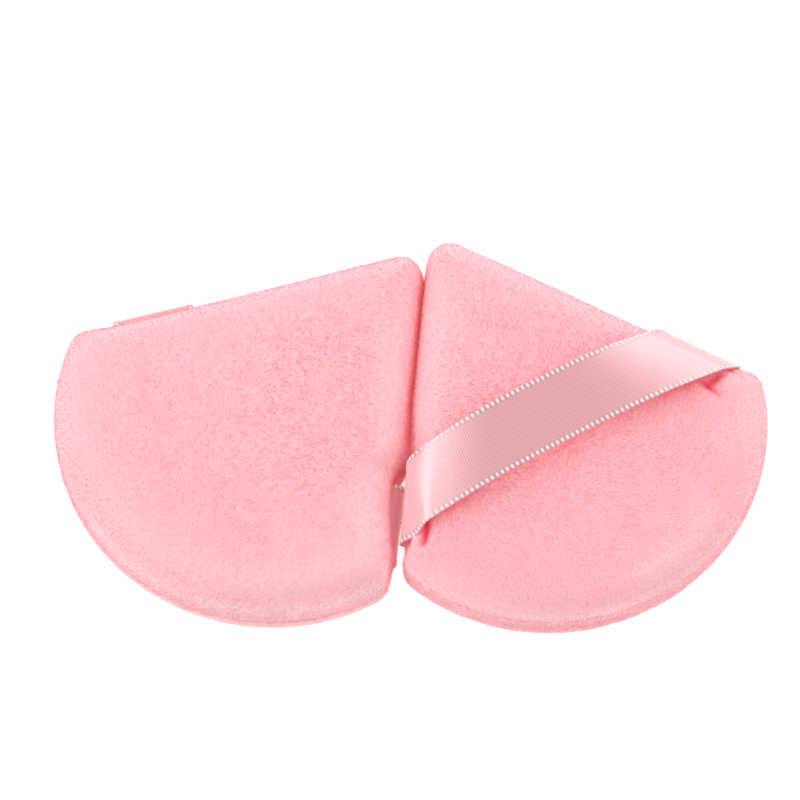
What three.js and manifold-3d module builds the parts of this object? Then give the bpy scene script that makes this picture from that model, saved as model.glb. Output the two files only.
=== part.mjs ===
// A pair of rounded-triangle powder puffs with velour covers, sponge cores and satin finger
// ribbons. They lie side by side on a table: the left puff face up on its ribbon, the right puff
// face down with its ribbon on top. All lengths are in millimetres and +Z is up.
// Each puff is modelled in a frame of its own, with its origin on the front face at the middle of
// the round side's curve: +Y points to the apex, +Z to the ribbon side, +X to the outer ribbon end.

import * as THREE from "three";
import { mergeVertices } from "three/addons/utils/BufferGeometryUtils.js";
import Module from "manifold-3d";

const wasm = await Module();
wasm.setup();

const DEGREE = Math.PI / 180;
const QUARTER_TURN = Math.PI / 2;

// Outline of a puff, seen from above: two straight sides from a rounded apex, and a round side
const APEX_HALF_ANGLE = 34.7 * DEGREE;
const APEX_FROM_CENTRE = 41.4;
const APEX_RADIUS = 4;
const CORNER_RADIUS = 4.7;
const ROUND_SIDE_DEPTH = 36.5;
const ROUND_SIDE_REACH = 37.3;

// Thickness of a puff, from the rim of its front face to the rim of its back
const RIM_THICKNESS = 14.4;
const SEAM_HEIGHT = 9;
const FRONT_EDGE_RADIUS = 5.5;
const BACK_EDGE_RADIUS = 4.2;
const FREE_CROWN = 1;
const RIBBON_SIDE_CROWN = 0.4;

// Velour covers, sewn together with their edges turned in
const VELOUR = 1.4;
const SEAM_DRAW = 1;
const SEAM_ALLOWANCE = 3;
const CLEARANCE = 0.3;
const SHARPEST_FOLD = 0.3;

// The covers are pulled in where the ribbon enters the seam, and the face dips above it
const PINCH = 1;
const PINCH_HEIGHT = 12;
const PINCH_FLAT_SHARE = 0.6;
const PINCH_FROM_CORNER = 7;
const PINCH_FROM_APEX = 40;
const FACE_DIP = 2;

// Satin ribbon
const RIBBON_WIDTH = 12.5;
const RIBBON_THICKNESS = 0.4;
const RIBBON_FROM_CENTRE = -1.5;
const RIBBON_FOLD_RADIUS = 0.6;
const RIBBON_SPLIT = 2;
const RIBBON_ARCH = 4.8;
const SNUG_STAND_OFF = 0.55;
const LOOSE_STAND_OFF = 0.9;
const PRESSED_STAND_OFF = 4;
const PRESSED_SKEW = 4;
const TAIL_GATHER_SHARE = 0.1;

// Sewing threads
const THREAD_RADIUS = 0.3;
const CLOSING_LENGTH = 32;
const TACK_OVERHANG = 0.3;

// How the pair lies: the facing straight sides run along a narrow aisle, turned from the Y axis
const AISLE_TURN = 5.4 * DEGREE;
const AISLE_WIDTH = 0.4;
const AISLE_SPREAD = 0.9 * DEGREE;
const RIGHT_PUFF_ADVANCE = 2.9;

// Points along each stretch of half an outline, steps round each curve of a section, and the
// powers that shape the ribbon's arch
const APEX_STEPS = 3;
const SIDE_STEPS = 10;
const CORNER_STEPS = 3;
const ROUND_STEPS = 8;
const EDGE_STEPS = 4;
const THREAD_SIDES = 6;
const BEND_STEPS = 6;
const FOLD_STEPS = 3;
const ARCH_STEPS = 7;
const ARCH_REACH_POWER = 3;
const ARCH_EASE_POWER = 1.5;
const OUTER_CROWN_SHARES = [0, 0.35, 0.62, 0.84];
const INNER_CROWN_SHARES = [0, 0.55];

const VELOUR_FINISH = { color: 0xffbfc8, roughness: 0.95, metalness: 0 };
const SPONGE_FINISH = { color: 0xfff2e2, roughness: 1, metalness: 0 };
const SATIN_FINISH = { color: 0xfbd3da, roughness: 0.35, metalness: 0 };
const THREAD_FINISH = { color: 0xf7aebb, roughness: 0.7, metalness: 0 };

// Values that follow from the sizes above
const ROUND_STRETCH = ROUND_SIDE_REACH / ROUND_SIDE_DEPTH;
const DRAWN_HALF_ANGLE = Math.atan(Math.tan(APEX_HALF_ANGLE) / ROUND_STRETCH);
const SIDE_FROM_CENTRE = APEX_FROM_CENTRE * Math.sin(APEX_HALF_ANGLE);
const RIBBON_INSET = SEAM_DRAW + SEAM_ALLOWANCE;
const THREAD_INSET = SEAM_DRAW + SEAM_ALLOWANCE + CLEARANCE + THREAD_RADIUS;
const TACK_INSET = THREAD_INSET + 2 * THREAD_RADIUS + CLEARANCE;
const CORE_INSET = VELOUR + CLEARANCE;
const FRONT_LIP = SEAM_HEIGHT - CLEARANCE / 2;
const BACK_LIP = SEAM_HEIGHT + CLEARANCE / 2;
const RIBBON_PROBE = RIBBON_THICKNESS / 8;

// How each puff lies: the crowns of its faces, and its ribbon's height and arch. standOffs says how
// far each ribbon end stands off its side, and centres how far up the puff its middle crosses it.
const FACE_UP = {
  frontCrown: FREE_CROWN,
  backCrown: 0,
  ribbonLevel: RIM_THICKNESS - RIBBON_THICKNESS / 2,
  ribbonArch: 0,
  standOffs: { outer: PRESSED_STAND_OFF, inner: SNUG_STAND_OFF },
  centres: { outer: RIBBON_FROM_CENTRE + PRESSED_SKEW, inner: RIBBON_FROM_CENTRE },
};
const FACE_DOWN = {
  frontCrown: 0,
  backCrown: RIBBON_SIDE_CROWN,
  ribbonLevel: RIM_THICKNESS + CLEARANCE + RIBBON_THICKNESS / 2,
  ribbonArch: RIBBON_ARCH,
  standOffs: { outer: LOOSE_STAND_OFF, inner: SNUG_STAND_OFF },
  centres: { outer: RIBBON_FROM_CENTRE, inner: RIBBON_FROM_CENTRE },
};

// A closed surface over a row of loops, each a list of points. A loop of one point is a pole.
function skin(loops) {
  const places = [];
  const faces = [];
  const starts = loops.map((loop) => {
    const start = places.length;
    places.push(...loop);
    return start;
  });
  for (let i = 1; i < loops.length; i++) {
    const [a, b] = [loops[i - 1], loops[i]];
    const count = Math.max(a.length, b.length);
    for (let k = 0; k < count; k++) {
      const next = (k + 1) % count;
      const a0 = starts[i - 1] + (k % a.length);
      const a1 = starts[i - 1] + (next % a.length);
      const b0 = starts[i] + (k % b.length);
      const b1 = starts[i] + (next % b.length);
      if (a.length > 1) faces.push([a0, a1, b1]);
      if (b.length > 1) faces.push([a0, b1, b0]);
    }
  }
  const volume = faces.reduce((sum, [a, b, c]) => {
    const cross = new THREE.Vector3().crossVectors(places[b], places[c]);
    return sum + places[a].dot(cross);
  }, 0);
  const turned = volume < 0 ? faces.map(([a, b, c]) => [a, c, b]) : faces;
  const geometry = new THREE.BufferGeometry().setFromPoints(places);
  geometry.setIndex(turned.flat());
  return geometry;
}

// The geometry as a solid that can be cut, and back again
function solidOf(geometry) {
  const merged = mergeVertices(geometry);
  return new wasm.Manifold(
    new wasm.Mesh({
      numProp: 3,
      vertProperties: merged.attributes.position.array,
      triVerts: new Uint32Array(merged.index.array),
    }),
  );
}

function cutAway(geometry, cutter) {
  const mesh = solidOf(geometry).subtract(solidOf(cutter)).getMesh();
  const result = new THREE.BufferGeometry();
  const places = new THREE.BufferAttribute(mesh.vertProperties, mesh.numProp);
  result.setAttribute("position", places);
  result.setIndex(new THREE.BufferAttribute(mesh.triVerts, 1));
  return result;
}

// Points from one angle to another round a centre, the first one left out if it repeats
function arcPoints(centre, radius, from, to, steps, first) {
  const points = [];
  for (let i = first; i <= steps; i++) {
    const angle = from + ((to - from) * i) / steps;
    const normal = new THREE.Vector2(Math.cos(angle), Math.sin(angle));
    points.push({ place: centre.clone().addScaledVector(normal, radius), normal });
  }
  return points;
}

// Half of the outline, moved in by an inset, from the apex down the +X side to the round side's
// middle. It is drawn with a circle for the round side, which the outline then stretches.
function halfOutline(inset) {
  const apexRadius = Math.max(APEX_RADIUS - inset, SHARPEST_FOLD);
  const cornerRadius = Math.max(CORNER_RADIUS - inset, SHARPEST_FOLD);
  const roundRadius = ROUND_SIDE_DEPTH - inset;
  const sine = Math.sin(DRAWN_HALF_ANGLE);
  const cosine = Math.cos(DRAWN_HALF_ANGLE);
  const normal = new THREE.Vector2(cosine, sine);
  const down = new THREE.Vector2(sine, -cosine);
  const tip = new THREE.Vector2(0, APEX_FROM_CENTRE - inset / sine);
  const apexCentre = new THREE.Vector2(0, tip.y - apexRadius / sine);
  const start = tip.clone().addScaledVector(normal, -cornerRadius);
  const nearest = -start.dot(down);
  const span = (roundRadius - cornerRadius) ** 2 - start.lengthSq() + nearest ** 2;
  const cornerCentre = start.clone().addScaledVector(down, nearest + Math.sqrt(span));
  const cornerTurn = Math.atan2(cornerCentre.y, cornerCentre.x);
  const origin = new THREE.Vector2();
  const side = [];
  const from = apexCentre.clone().addScaledVector(normal, apexRadius);
  const to = cornerCentre.clone().addScaledVector(normal, cornerRadius);
  for (let i = 1; i < SIDE_STEPS; i++) {
    side.push({ place: from.clone().lerp(to, i / SIDE_STEPS), normal });
  }
  return [
    ...arcPoints(apexCentre, apexRadius, QUARTER_TURN, DRAWN_HALF_ANGLE, APEX_STEPS, 0),
    ...side,
    ...arcPoints(cornerCentre, cornerRadius, DRAWN_HALF_ANGLE, cornerTurn, CORNER_STEPS, 0),
    ...arcPoints(origin, roundRadius, cornerTurn, -QUARTER_TURN, ROUND_STEPS, 1),
  ].map(({ place, normal: direction }) => ({
    place: new THREE.Vector2(place.x * ROUND_STRETCH, place.y),
    normal: new THREE.Vector2(direction.x / ROUND_STRETCH, direction.y).normalize(),
  }));
}

// How far each point of the outline is from the apex, measured along the outline
const DISTANCES = halfOutline(0).reduce((sums, point, i, all) => {
  const step = i ? point.place.distanceTo(all[i - 1].place) : 0;
  return [...sums, (sums.at(-1) ?? 0) + step];
}, []);

// The whole outline as points with a normal, a side (1 outer, -1 inner) and a distance
function outline(inset) {
  const half = halfOutline(inset).map((point, i) => ({
    ...point,
    side: 1,
    distance: DISTANCES[i],
  }));
  const other = half
    .slice(1, -1)
    .reverse()
    .map(({ place, normal, distance }) => ({
      place: new THREE.Vector2(-place.x, place.y),
      normal: new THREE.Vector2(-normal.x, normal.y),
      side: -1,
      distance,
    }));
  return [...half, ...other];
}

// One end of the ribbon, in the plane square to its straight side: it turns over the back's edge,
// drops to the seam, folds in and ends between the covers. Distances out are from the side.
function ribbonEnd(pose, side) {
  const centre = pose.centres[side];
  const middleCentre = (pose.centres.outer + pose.centres.inner) / 2;
  const out = pose.standOffs[side] + RIBBON_THICKNESS / 2 - PINCH;
  const top = pose.ribbonLevel;
  const fold = RIBBON_FOLD_RADIUS;
  const widest = BACK_EDGE_RADIUS + CLEARANCE + RIBBON_THICKNESS / 2;
  const bend = Math.min(widest, top - SEAM_HEIGHT - fold);
  const drop = top - SEAM_HEIGHT - bend - fold;
  const bendEnd = bend * QUARTER_TURN;
  const foldStart = bendEnd + drop;
  const foldEnd = foldStart + fold * QUARTER_TURN;
  const tailEnd = foldEnd + out - fold + RIBBON_INSET;
  const start = out - bend;
  const place = (travel) => {
    if (travel < bendEnd) {
      const turn = travel / bend;
      return [start + bend * Math.sin(turn), top - bend * (1 - Math.cos(turn))];
    }
    if (travel < foldStart) return [out, top - bend - (travel - bendEnd)];
    if (travel < foldEnd) {
      const turn = (travel - foldStart) / fold;
      return [out - fold * (1 - Math.cos(turn)), SEAM_HEIGHT + fold * (1 - Math.sin(turn))];
    }
    return [out - fold - (travel - foldEnd), SEAM_HEIGHT];
  };
  return { centre, middleCentre, start, bendEnd, foldStart, foldEnd, tailEnd, place };
}

// Where the flat ribbon crosses the line at which it starts to bend, at a height y up the puff
function crossing(end, y) {
  const reach = end.start + SIDE_FROM_CENTRE - y * Math.sin(APEX_HALF_ANGLE);
  return reach / Math.cos(APEX_HALF_ANGLE);
}

// The ribbon's position along its length where it has travelled so far past the bend's start
function stationAt(end, travel) {
  return crossing(end, end.centre) + travel / Math.cos(APEX_HALF_ANGLE);
}

// A point of the ribbon's middle surface, on the outer half. station runs along the ribbon from
// its middle, and across from its centre line towards the apex.
function outerRibbonPoint(pose, end, station, across) {
  const middle = crossing(end, end.centre);
  if (station <= middle) {
    const share = station / middle;
    const y = end.middleCentre + (end.centre - end.middleCentre) * share + across;
    const rise = (1 - Math.abs(share) ** ARCH_REACH_POWER) ** ARCH_EASE_POWER;
    const level = pose.ribbonLevel + pose.ribbonArch * rise;
    return new THREE.Vector3(share * crossing(end, y), y, level);
  }
  const travel = (station - middle) * Math.cos(APEX_HALF_ANGLE);
  const [out, level] = end.place(travel);
  const turned = Math.min(travel, end.foldStart);
  const slip = end.start + turned - turned ** 2 / (2 * end.foldStart);
  const width = 1 - TAIL_GATHER_SHARE * (turned / end.foldStart) ** 2;
  const flatDown = (APEX_FROM_CENTRE - end.centre - across * width) / Math.cos(APEX_HALF_ANGLE);
  const down = flatDown + slip * Math.tan(APEX_HALF_ANGLE);
  return new THREE.Vector3(
    down * Math.sin(APEX_HALF_ANGLE) + out * Math.cos(APEX_HALF_ANGLE),
    APEX_FROM_CENTRE - down * Math.cos(APEX_HALF_ANGLE) + out * Math.sin(APEX_HALF_ANGLE),
    level,
  );
}

// The same for either half, moved off the middle surface by a lift along its normal
function ribbonPoint(pose, ends, station, across, lift) {
  const at = (along, over) => {
    const end = along < 0 ? ends.inner : ends.outer;
    const point = outerRibbonPoint(pose, end, Math.abs(along), over);
    point.x *= along < 0 ? -1 : 1;
    return point;
  };
  const [before, after] = [station - RIBBON_PROBE, station + RIBBON_PROBE];
  const [below, above] = [across - RIBBON_PROBE, across + RIBBON_PROBE];
  const forward = at(after, across).sub(at(before, across));
  const sideways = at(station, above).sub(at(station, below));
  const normal = forward.cross(sideways).normalize();
  return at(station, across).addScaledVector(normal, lift);
}

// The stations at which the ribbon's solid has a row of points
function ribbonStations(ends) {
  const half = (end) => {
    const travels = [];
    for (let i = 0; i <= BEND_STEPS; i++) travels.push((end.bendEnd * i) / BEND_STEPS);
    for (let i = 0; i <= FOLD_STEPS; i++) {
      travels.push(end.foldStart + ((end.foldEnd - end.foldStart) * i) / FOLD_STEPS);
    }
    const flat = crossing(end, end.centre);
    const arch = Array.from({ length: ARCH_STEPS - 1 }, (_, i) => (flat * (i + 1)) / ARCH_STEPS);
    return [...arch, ...travels.map((travel) => stationAt(end, travel))];
  };
  const inner = half(ends.inner).map((station) => -station);
  return [...inner.reverse(), 0, ...half(ends.outer)];
}

// A stretch of the ribbon as a solid, made wider and thicker by a margin where it is a cutter
function ribbonStretch(pose, ends, from, to, margin) {
  const apart = RIBBON_THICKNESS / 2;
  const inside = ribbonStations(ends).filter((s) => s > from + apart && s < to - apart);
  const halfWidth = RIBBON_WIDTH / 2 + margin;
  const lift = RIBBON_THICKNESS / 2 + margin;
  const row = (station) => [
    ...[-halfWidth, 0, halfWidth].map((w) => ribbonPoint(pose, ends, station, w, lift)),
    ...[halfWidth, 0, -halfWidth].map((w) => ribbonPoint(pose, ends, station, w, -lift)),
  ];
  const middle = (station) => [ribbonPoint(pose, ends, station, 0, 0)];
  const rows = [from, ...inside, to].map(row);
  return skin([middle(from), ...rows, middle(to)]);
}

// Where the ribbon's centre line enters the seam, as a distance from the apex along the outline
function slotDistance(pose, end) {
  const mouth = outerRibbonPoint(pose, end, stationAt(end, end.foldEnd), 0);
  const side = new THREE.Vector2(mouth.x, mouth.y - APEX_FROM_CENTRE);
  const down = side.x * Math.sin(APEX_HALF_ANGLE) - side.y * Math.cos(APEX_HALF_ANGLE);
  const rounded = (QUARTER_TURN - APEX_HALF_ANGLE) * APEX_RADIUS;
  return down - APEX_RADIUS / Math.tan(APEX_HALF_ANGLE) + rounded;
}

// 1 at the ribbon's slot, falling smoothly to 0 on its apex side and, sooner, on the other
function besideSlot(offset) {
  const halfSlot = RIBBON_WIDTH / 2 / Math.cos(APEX_HALF_ANGLE);
  const ramp = offset < 0 ? PINCH_FROM_APEX : PINCH_FROM_CORNER;
  const past = Math.abs(offset) - PINCH_FLAT_SHARE * halfSlot;
  const share = Math.min(1, Math.max(0, past / ramp));
  return (1 + Math.cos(Math.PI * share)) / 2;
}

// The puff's outline as a loop at an inset and a height, pulled in at the ribbon's slots
function ring(puff, inset, height, share = 1) {
  const level = 1 - Math.min(1, Math.abs(height - SEAM_HEIGHT) / PINCH_HEIGHT) ** 2;
  const dip = Math.min(1, Math.max(0, 1 - height / FRONT_EDGE_RADIUS));
  return outline(inset).map(({ place, normal, side, distance }) => {
    const slot = side > 0 ? puff.slots.outer : puff.slots.inner;
    const faceDip = side < 0 ? FACE_DIP * dip : 0;
    const draw = (PINCH * level + faceDip) * besideSlot(distance - slot);
    const moved = place.clone().addScaledVector(normal, -draw);
    return new THREE.Vector3(moved.x * share, moved.y * share, height);
  });
}

// Rings over a crowned face, from its middle to its rim
function crownRings(puff, inset, height, crown, shares) {
  return shares.map((share) => {
    const level = height + crown * (1 - share ** 2);
    return share ? ring(puff, inset, height, share).map((p) => p.setZ(level))
      : [new THREE.Vector3(0, 0, level)];
  });
}

// Inset and height round an edge, from the face's rim to the side. way is -1 for the front.
function edgePairs(radius, inset, rim, way) {
  const pairs = [];
  for (let i = 0; i <= EDGE_STEPS; i++) {
    const turn = QUARTER_TURN * (1 - i / EDGE_STEPS);
    const out = radius - inset;
    pairs.push([radius - out * Math.cos(turn), rim - way * (radius - out * Math.sin(turn))]);
  }
  return pairs;
}

// A cover: its outer skin from the face's middle to the seam, the allowance that is turned in
// there, and its inner skin back to the middle. way is -1 for the front and 1 for the back.
function cover(puff, way) {
  const front = way < 0;
  const rim = front ? 0 : RIM_THICKNESS;
  const radius = front ? FRONT_EDGE_RADIUS : BACK_EDGE_RADIUS;
  const crown = way * (front ? puff.pose.frontCrown : puff.pose.backCrown);
  const lip = front ? FRONT_LIP : BACK_LIP;
  const hem = lip + way * VELOUR;
  const side = (rim - way * radius + lip) / 2;
  const allowance = SEAM_DRAW + SEAM_ALLOWANCE;
  const pairs = [
    ...edgePairs(radius, 0, rim, way),
    [SEAM_DRAW / 4, side],
    [SEAM_DRAW, lip],
    [allowance, lip],
    [allowance, hem],
    ...insideSeam(radius, rim, hem, way),
  ];
  const inner = crownRings(puff, radius, rim - way * VELOUR, crown, INNER_CROWN_SHARES);
  return skin([
    ...crownRings(puff, radius, rim, crown, OUTER_CROWN_SHARES),
    ...pairs.map(([inset, height]) => ring(puff, inset, height)),
    ...inner.reverse(),
  ]);
}

// The inner skin from the hem to the face's rim
function insideSeam(radius, rim, hem, way) {
  const edge = edgePairs(radius, VELOUR, rim, way).reverse();
  const [sideInset, sideHeight] = edge[0];
  const beyond = way * (hem - sideHeight);
  if (beyond < -CLEARANCE) {
    return [[SEAM_DRAW / 2 + sideInset, hem], ...edge];
  }
  const reach = radius - VELOUR;
  const past = Math.min(reach, Math.max(0, beyond));
  const first = radius - Math.sqrt(reach ** 2 - past ** 2);
  const later = edge.filter(([, height]) => way * (height - hem) > CLEARANCE);
  return [[first, hem], ...later];
}

// Half of the sponge core: a face, its rounded edge, and the groove for the turned-in seam
function coreHalf(puff, way) {
  const front = way < 0;
  const rim = front ? 0 : RIM_THICKNESS;
  const radius = front ? FRONT_EDGE_RADIUS : BACK_EDGE_RADIUS;
  const crown = way * (front ? puff.pose.frontCrown : puff.pose.backCrown);
  const shoulder = (front ? FRONT_LIP : BACK_LIP) + way * (VELOUR + CLEARANCE);
  const bottom = TACK_INSET + THREAD_RADIUS + 2 * CLEARANCE;
  const edge = edgePairs(radius, CORE_INSET, rim, way);
  const reach = radius - CORE_INSET;
  const past = Math.min(reach, Math.max(0, way * (shoulder - rim) + radius));
  const last = radius - Math.sqrt(reach ** 2 - past ** 2) + (past ? 0 : SEAM_DRAW / 2);
  const pairs = [
    ...edge.filter(([, height]) => way * (height - shoulder) > CLEARANCE),
    [last, shoulder],
    [bottom, shoulder],
  ];
  return [
    ...crownRings(puff, radius, rim - way * CORE_INSET, crown, INNER_CROWN_SHARES),
    ...pairs.map(([inset, height]) => ring(puff, inset, height)),
  ];
}

// The sponge core, which fills both covers
function core(puff) {
  return skin([...coreHalf(puff, -1), ...coreHalf(puff, 1).reverse()]);
}

// A thread along the outline from one distance to another, counted past the round side's middle
function thread(puff, inset, from, to) {
  const total = 2 * DISTANCES.at(-1);
  const rail = ring(puff, inset, SEAM_HEIGHT);
  const path = outline(inset).map(({ normal, side, distance }, i) => ({
    place: rail[i],
    normal,
    at: side > 0 ? distance : total - distance,
  }));
  const all = [-1, 0, 1].flatMap((lap) =>
    path.map(({ place, normal, at }) => ({ place, normal, at: at + lap * total })),
  );
  const inside = all.filter(({ at }) => at > from + CLEARANCE && at < to - CLEARANCE);
  const cuts = [endPoint(all, from), ...inside, endPoint(all, to)];
  const loops = cuts.map(({ place, normal }) =>
    Array.from({ length: THREAD_SIDES }, (_, i) => {
      const turn = (2 * Math.PI * i) / THREAD_SIDES;
      const point = place.clone();
      point.x += normal.x * THREAD_RADIUS * Math.cos(turn);
      point.y += normal.y * THREAD_RADIUS * Math.cos(turn);
      point.z += THREAD_RADIUS * Math.sin(turn);
      return point;
    }),
  );
  return skin([[cuts[0].place], ...loops, [cuts.at(-1).place]]);
}

// The point of a path at a given distance, between the two points round it
function endPoint(path, distance) {
  const after = path.findIndex(({ at }) => at >= distance);
  const [a, b] = [path[after - 1], path[after]];
  const share = (distance - a.at) / (b.at - a.at);
  return {
    place: a.place.clone().lerp(b.place, share),
    normal: a.normal.clone().lerp(b.normal, share).normalize(),
  };
}

// The machine seam runs round the puff but for the gap that it was turned and filled through
function seamThreads(puff) {
  const middle = DISTANCES.at(-1);
  const gap = CLOSING_LENGTH / 2;
  const seamFrom = middle + gap + CLEARANCE - 2 * middle;
  return {
    seam_thread: thread(puff, THREAD_INSET, seamFrom, middle - gap - CLEARANCE),
    closing_thread: thread(puff, THREAD_INSET, middle - gap, middle + gap),
  };
}

// A short second run of stitches over each ribbon tail
function tackThreads(puff) {
  const total = 2 * DISTANCES.at(-1);
  const tailShare = 1 - TAIL_GATHER_SHARE;
  const half = (RIBBON_WIDTH * tailShare) / 2 / Math.cos(APEX_HALF_ANGLE) + TACK_OVERHANG;
  const { outer, inner } = puff.slots;
  return {
    outer_ribbon_tack: thread(puff, TACK_INSET, outer - half, outer + half),
    inner_ribbon_tack: thread(puff, TACK_INSET, total - inner - half, total - inner + half),
  };
}

// The ribbon, split where it flexes: the middle stretch lifts, and the two ends stay sewn in
function ribbonPieces(puff) {
  const { pose, ends } = puff;
  const split = (end) => crossing(end, end.centre) - RIBBON_SPLIT;
  const [outerSplit, innerSplit] = [split(ends.outer), -split(ends.inner)];
  const outerTail = stationAt(ends.outer, ends.outer.tailEnd);
  const innerTail = -stationAt(ends.inner, ends.inner.tailEnd);
  const gap = CLEARANCE / 2;
  return {
    ribbon_middle: ribbonStretch(pose, ends, innerSplit + gap, outerSplit - gap, 0),
    outer_ribbon_end: ribbonStretch(pose, ends, outerSplit + gap, outerTail, 0),
    inner_ribbon_end: ribbonStretch(pose, ends, innerTail, innerSplit - gap, 0),
  };
}

// The room that the ribbon needs in the covers, from one tail to the other
function ribbonRoom(puff) {
  const { pose, ends } = puff;
  const past = CLEARANCE / Math.cos(APEX_HALF_ANGLE);
  const from = -stationAt(ends.inner, ends.inner.tailEnd) - past;
  const to = stationAt(ends.outer, ends.outer.tailEnd) + past;
  return ribbonStretch(pose, ends, from, to, CLEARANCE);
}

// All pieces of one puff as geometries, by name
function puffPieces(pose) {
  const ends = { outer: ribbonEnd(pose, "outer"), inner: ribbonEnd(pose, "inner") };
  const slots = {
    outer: slotDistance(pose, ends.outer),
    inner: slotDistance(pose, ends.inner),
  };
  const puff = { pose, ends, slots };
  const room = ribbonRoom(puff);
  return {
    front_cover: cutAway(cover(puff, -1), room),
    back_cover: cutAway(cover(puff, 1), room),
    sponge_core: core(puff),
    ...seamThreads(puff),
    ...tackThreads(puff),
    ...ribbonPieces(puff),
  };
}

// What each piece is made of, by the last word of its name
const FINISHES = {
  cover: VELOUR_FINISH,
  core: SPONGE_FINISH,
  thread: THREAD_FINISH,
  tack: THREAD_FINISH,
  middle: SATIN_FINISH,
  end: SATIN_FINISH,
};

// A puff as a group of named meshes
function puffGroup(name, pose) {
  const group = new THREE.Group();
  for (const [piece, geometry] of Object.entries(puffPieces(pose))) {
    const finish = FINISHES[piece.split("_").at(-1)];
    const mesh = new THREE.Mesh(geometry, new THREE.MeshStandardMaterial(finish));
    mesh.name = name + "_" + piece;
    group.add(mesh);
  }
  return group;
}

// Lays a puff down with its inner straight side along the aisle, which widens a little from the
// apexes down. way is 1 for the puff to the right, face down, and -1 for the one turned face up.
function layDown(group, way, advance) {
  const holder = new THREE.Group();
  group.rotation.y = way > 0 ? 0 : Math.PI;
  holder.add(group);
  holder.rotation.z = way * (APEX_HALF_ANGLE + AISLE_SPREAD / 2) - AISLE_TURN;
  const down = APEX_RADIUS / Math.tan(APEX_HALF_ANGLE);
  const sideStart = new THREE.Vector3(
    -way * down * Math.sin(APEX_HALF_ANGLE),
    APEX_FROM_CENTRE - down * Math.cos(APEX_HALF_ANGLE),
    0,
  ).applyEuler(holder.rotation);
  const start = new THREE.Vector3((way * AISLE_WIDTH) / 2, advance, 0);
  start.applyEuler(new THREE.Euler(0, 0, -AISLE_TURN));
  holder.position.copy(start.sub(sideStart));
  holder.position.z = -new THREE.Box3().setFromObject(holder, true).min.z;
  return holder;
}

// The pair, centred over the origin and standing on z = 0
const pair = new THREE.Group();
pair.add(layDown(puffGroup("left", FACE_UP), -1, 0));
pair.add(layDown(puffGroup("right", FACE_DOWN), 1, RIGHT_PUFF_ADVANCE));
const box = new THREE.Box3().setFromObject(pair, true);
const centre = box.getCenter(new THREE.Vector3());
pair.position.set(-centre.x, -centre.y, -box.min.z);

export default pair;
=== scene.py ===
# %% [markdown]
# # Two powder puffs with satin finger ribbons
#
# A powder puff is a sponge sewn into two velour covers. This kind is a triangle with one round
# side, and a satin ribbon runs over its back to hold it on a finger. Two of them lie on a white
# table: the left one with its powdering face up, the right one with its back and ribbon up.
#
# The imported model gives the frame: every hard size, every place and what moves with what. This
# lesson dresses it in cloth, pile, satin and thread.

import math

import bpy
import numpy as np
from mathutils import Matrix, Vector
from mathutils.kdtree import KDTree


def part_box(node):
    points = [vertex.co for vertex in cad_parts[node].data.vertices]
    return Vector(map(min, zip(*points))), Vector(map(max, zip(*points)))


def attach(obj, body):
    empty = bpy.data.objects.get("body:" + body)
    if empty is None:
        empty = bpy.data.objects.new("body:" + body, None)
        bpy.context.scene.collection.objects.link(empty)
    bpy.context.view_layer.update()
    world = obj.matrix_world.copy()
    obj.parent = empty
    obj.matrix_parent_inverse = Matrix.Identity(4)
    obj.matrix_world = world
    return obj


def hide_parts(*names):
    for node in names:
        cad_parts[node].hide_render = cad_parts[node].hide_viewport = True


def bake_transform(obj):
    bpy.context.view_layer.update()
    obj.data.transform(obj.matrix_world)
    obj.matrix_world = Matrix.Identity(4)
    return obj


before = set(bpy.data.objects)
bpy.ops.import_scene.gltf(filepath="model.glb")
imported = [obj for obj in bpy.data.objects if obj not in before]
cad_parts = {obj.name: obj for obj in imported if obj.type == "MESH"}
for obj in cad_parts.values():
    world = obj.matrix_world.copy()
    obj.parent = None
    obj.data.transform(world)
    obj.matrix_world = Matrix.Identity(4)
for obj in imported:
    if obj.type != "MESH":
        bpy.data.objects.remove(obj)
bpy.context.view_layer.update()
scene = bpy.context.scene
print("nodes:", len(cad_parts))

# %% [markdown]
# ## Units
#
# Blender works in metres. A puff is easier to think of in millimetres, so the shapes below are
# worked out in millimetres, and only the step that makes a mesh turns them into metres.

# %% Units and small helpers
MM = 0.001
DEGREE = math.pi / 180


def metres(*values):
    """Millimetres as a vector in metres."""
    return Vector(values) * MM


def lofted(name, rows, wrap=True):
    """A mesh over a row of loops, each an array of points in millimetres. A loop of one point is a
    pole. The loops close on themselves when wrap is true."""
    starts = np.cumsum([0] + [len(row) for row in rows])
    faces = []
    for i in range(len(rows) - 1):
        a, b = len(rows[i]), len(rows[i + 1])
        count = max(a, b)
        for k in range(count if wrap else count - 1):
            after = (k + 1) % count
            corners = [starts[i] + k % a, starts[i] + after % a]
            corners += [starts[i + 1] + after % b, starts[i + 1] + k % b]
            faces.append(list(dict.fromkeys(int(c) for c in corners)))
    mesh = bpy.data.meshes.new(name)
    mesh.from_pydata((np.concatenate(rows) * MM).tolist(), [], faces)
    mesh.validate()
    return mesh


def shown(name, mesh, smooth=True):
    """The mesh as an object at the origin."""
    piece = bpy.data.objects.new(name, mesh)
    scene.collection.objects.link(piece)
    if smooth:
        mesh.shade_smooth()
    else:
        mesh.shade_flat()
    return piece


def face_outwards(mesh):
    """Turns a closed mesh's faces the other way if they point inwards, and gives its volume in
    cubic millimetres."""
    mesh.calc_loop_triangles()
    corners = np.array([v.co for v in mesh.vertices])
    triangles = np.array([t.vertices for t in mesh.loop_triangles])
    a, b, c = (corners[triangles[:, i]] for i in range(3))
    volume = np.einsum("ij,ij->", a, np.cross(b, c)) / 6
    if volume < 0:
        mesh.flip_normals()
    return abs(volume) / MM**3


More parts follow.
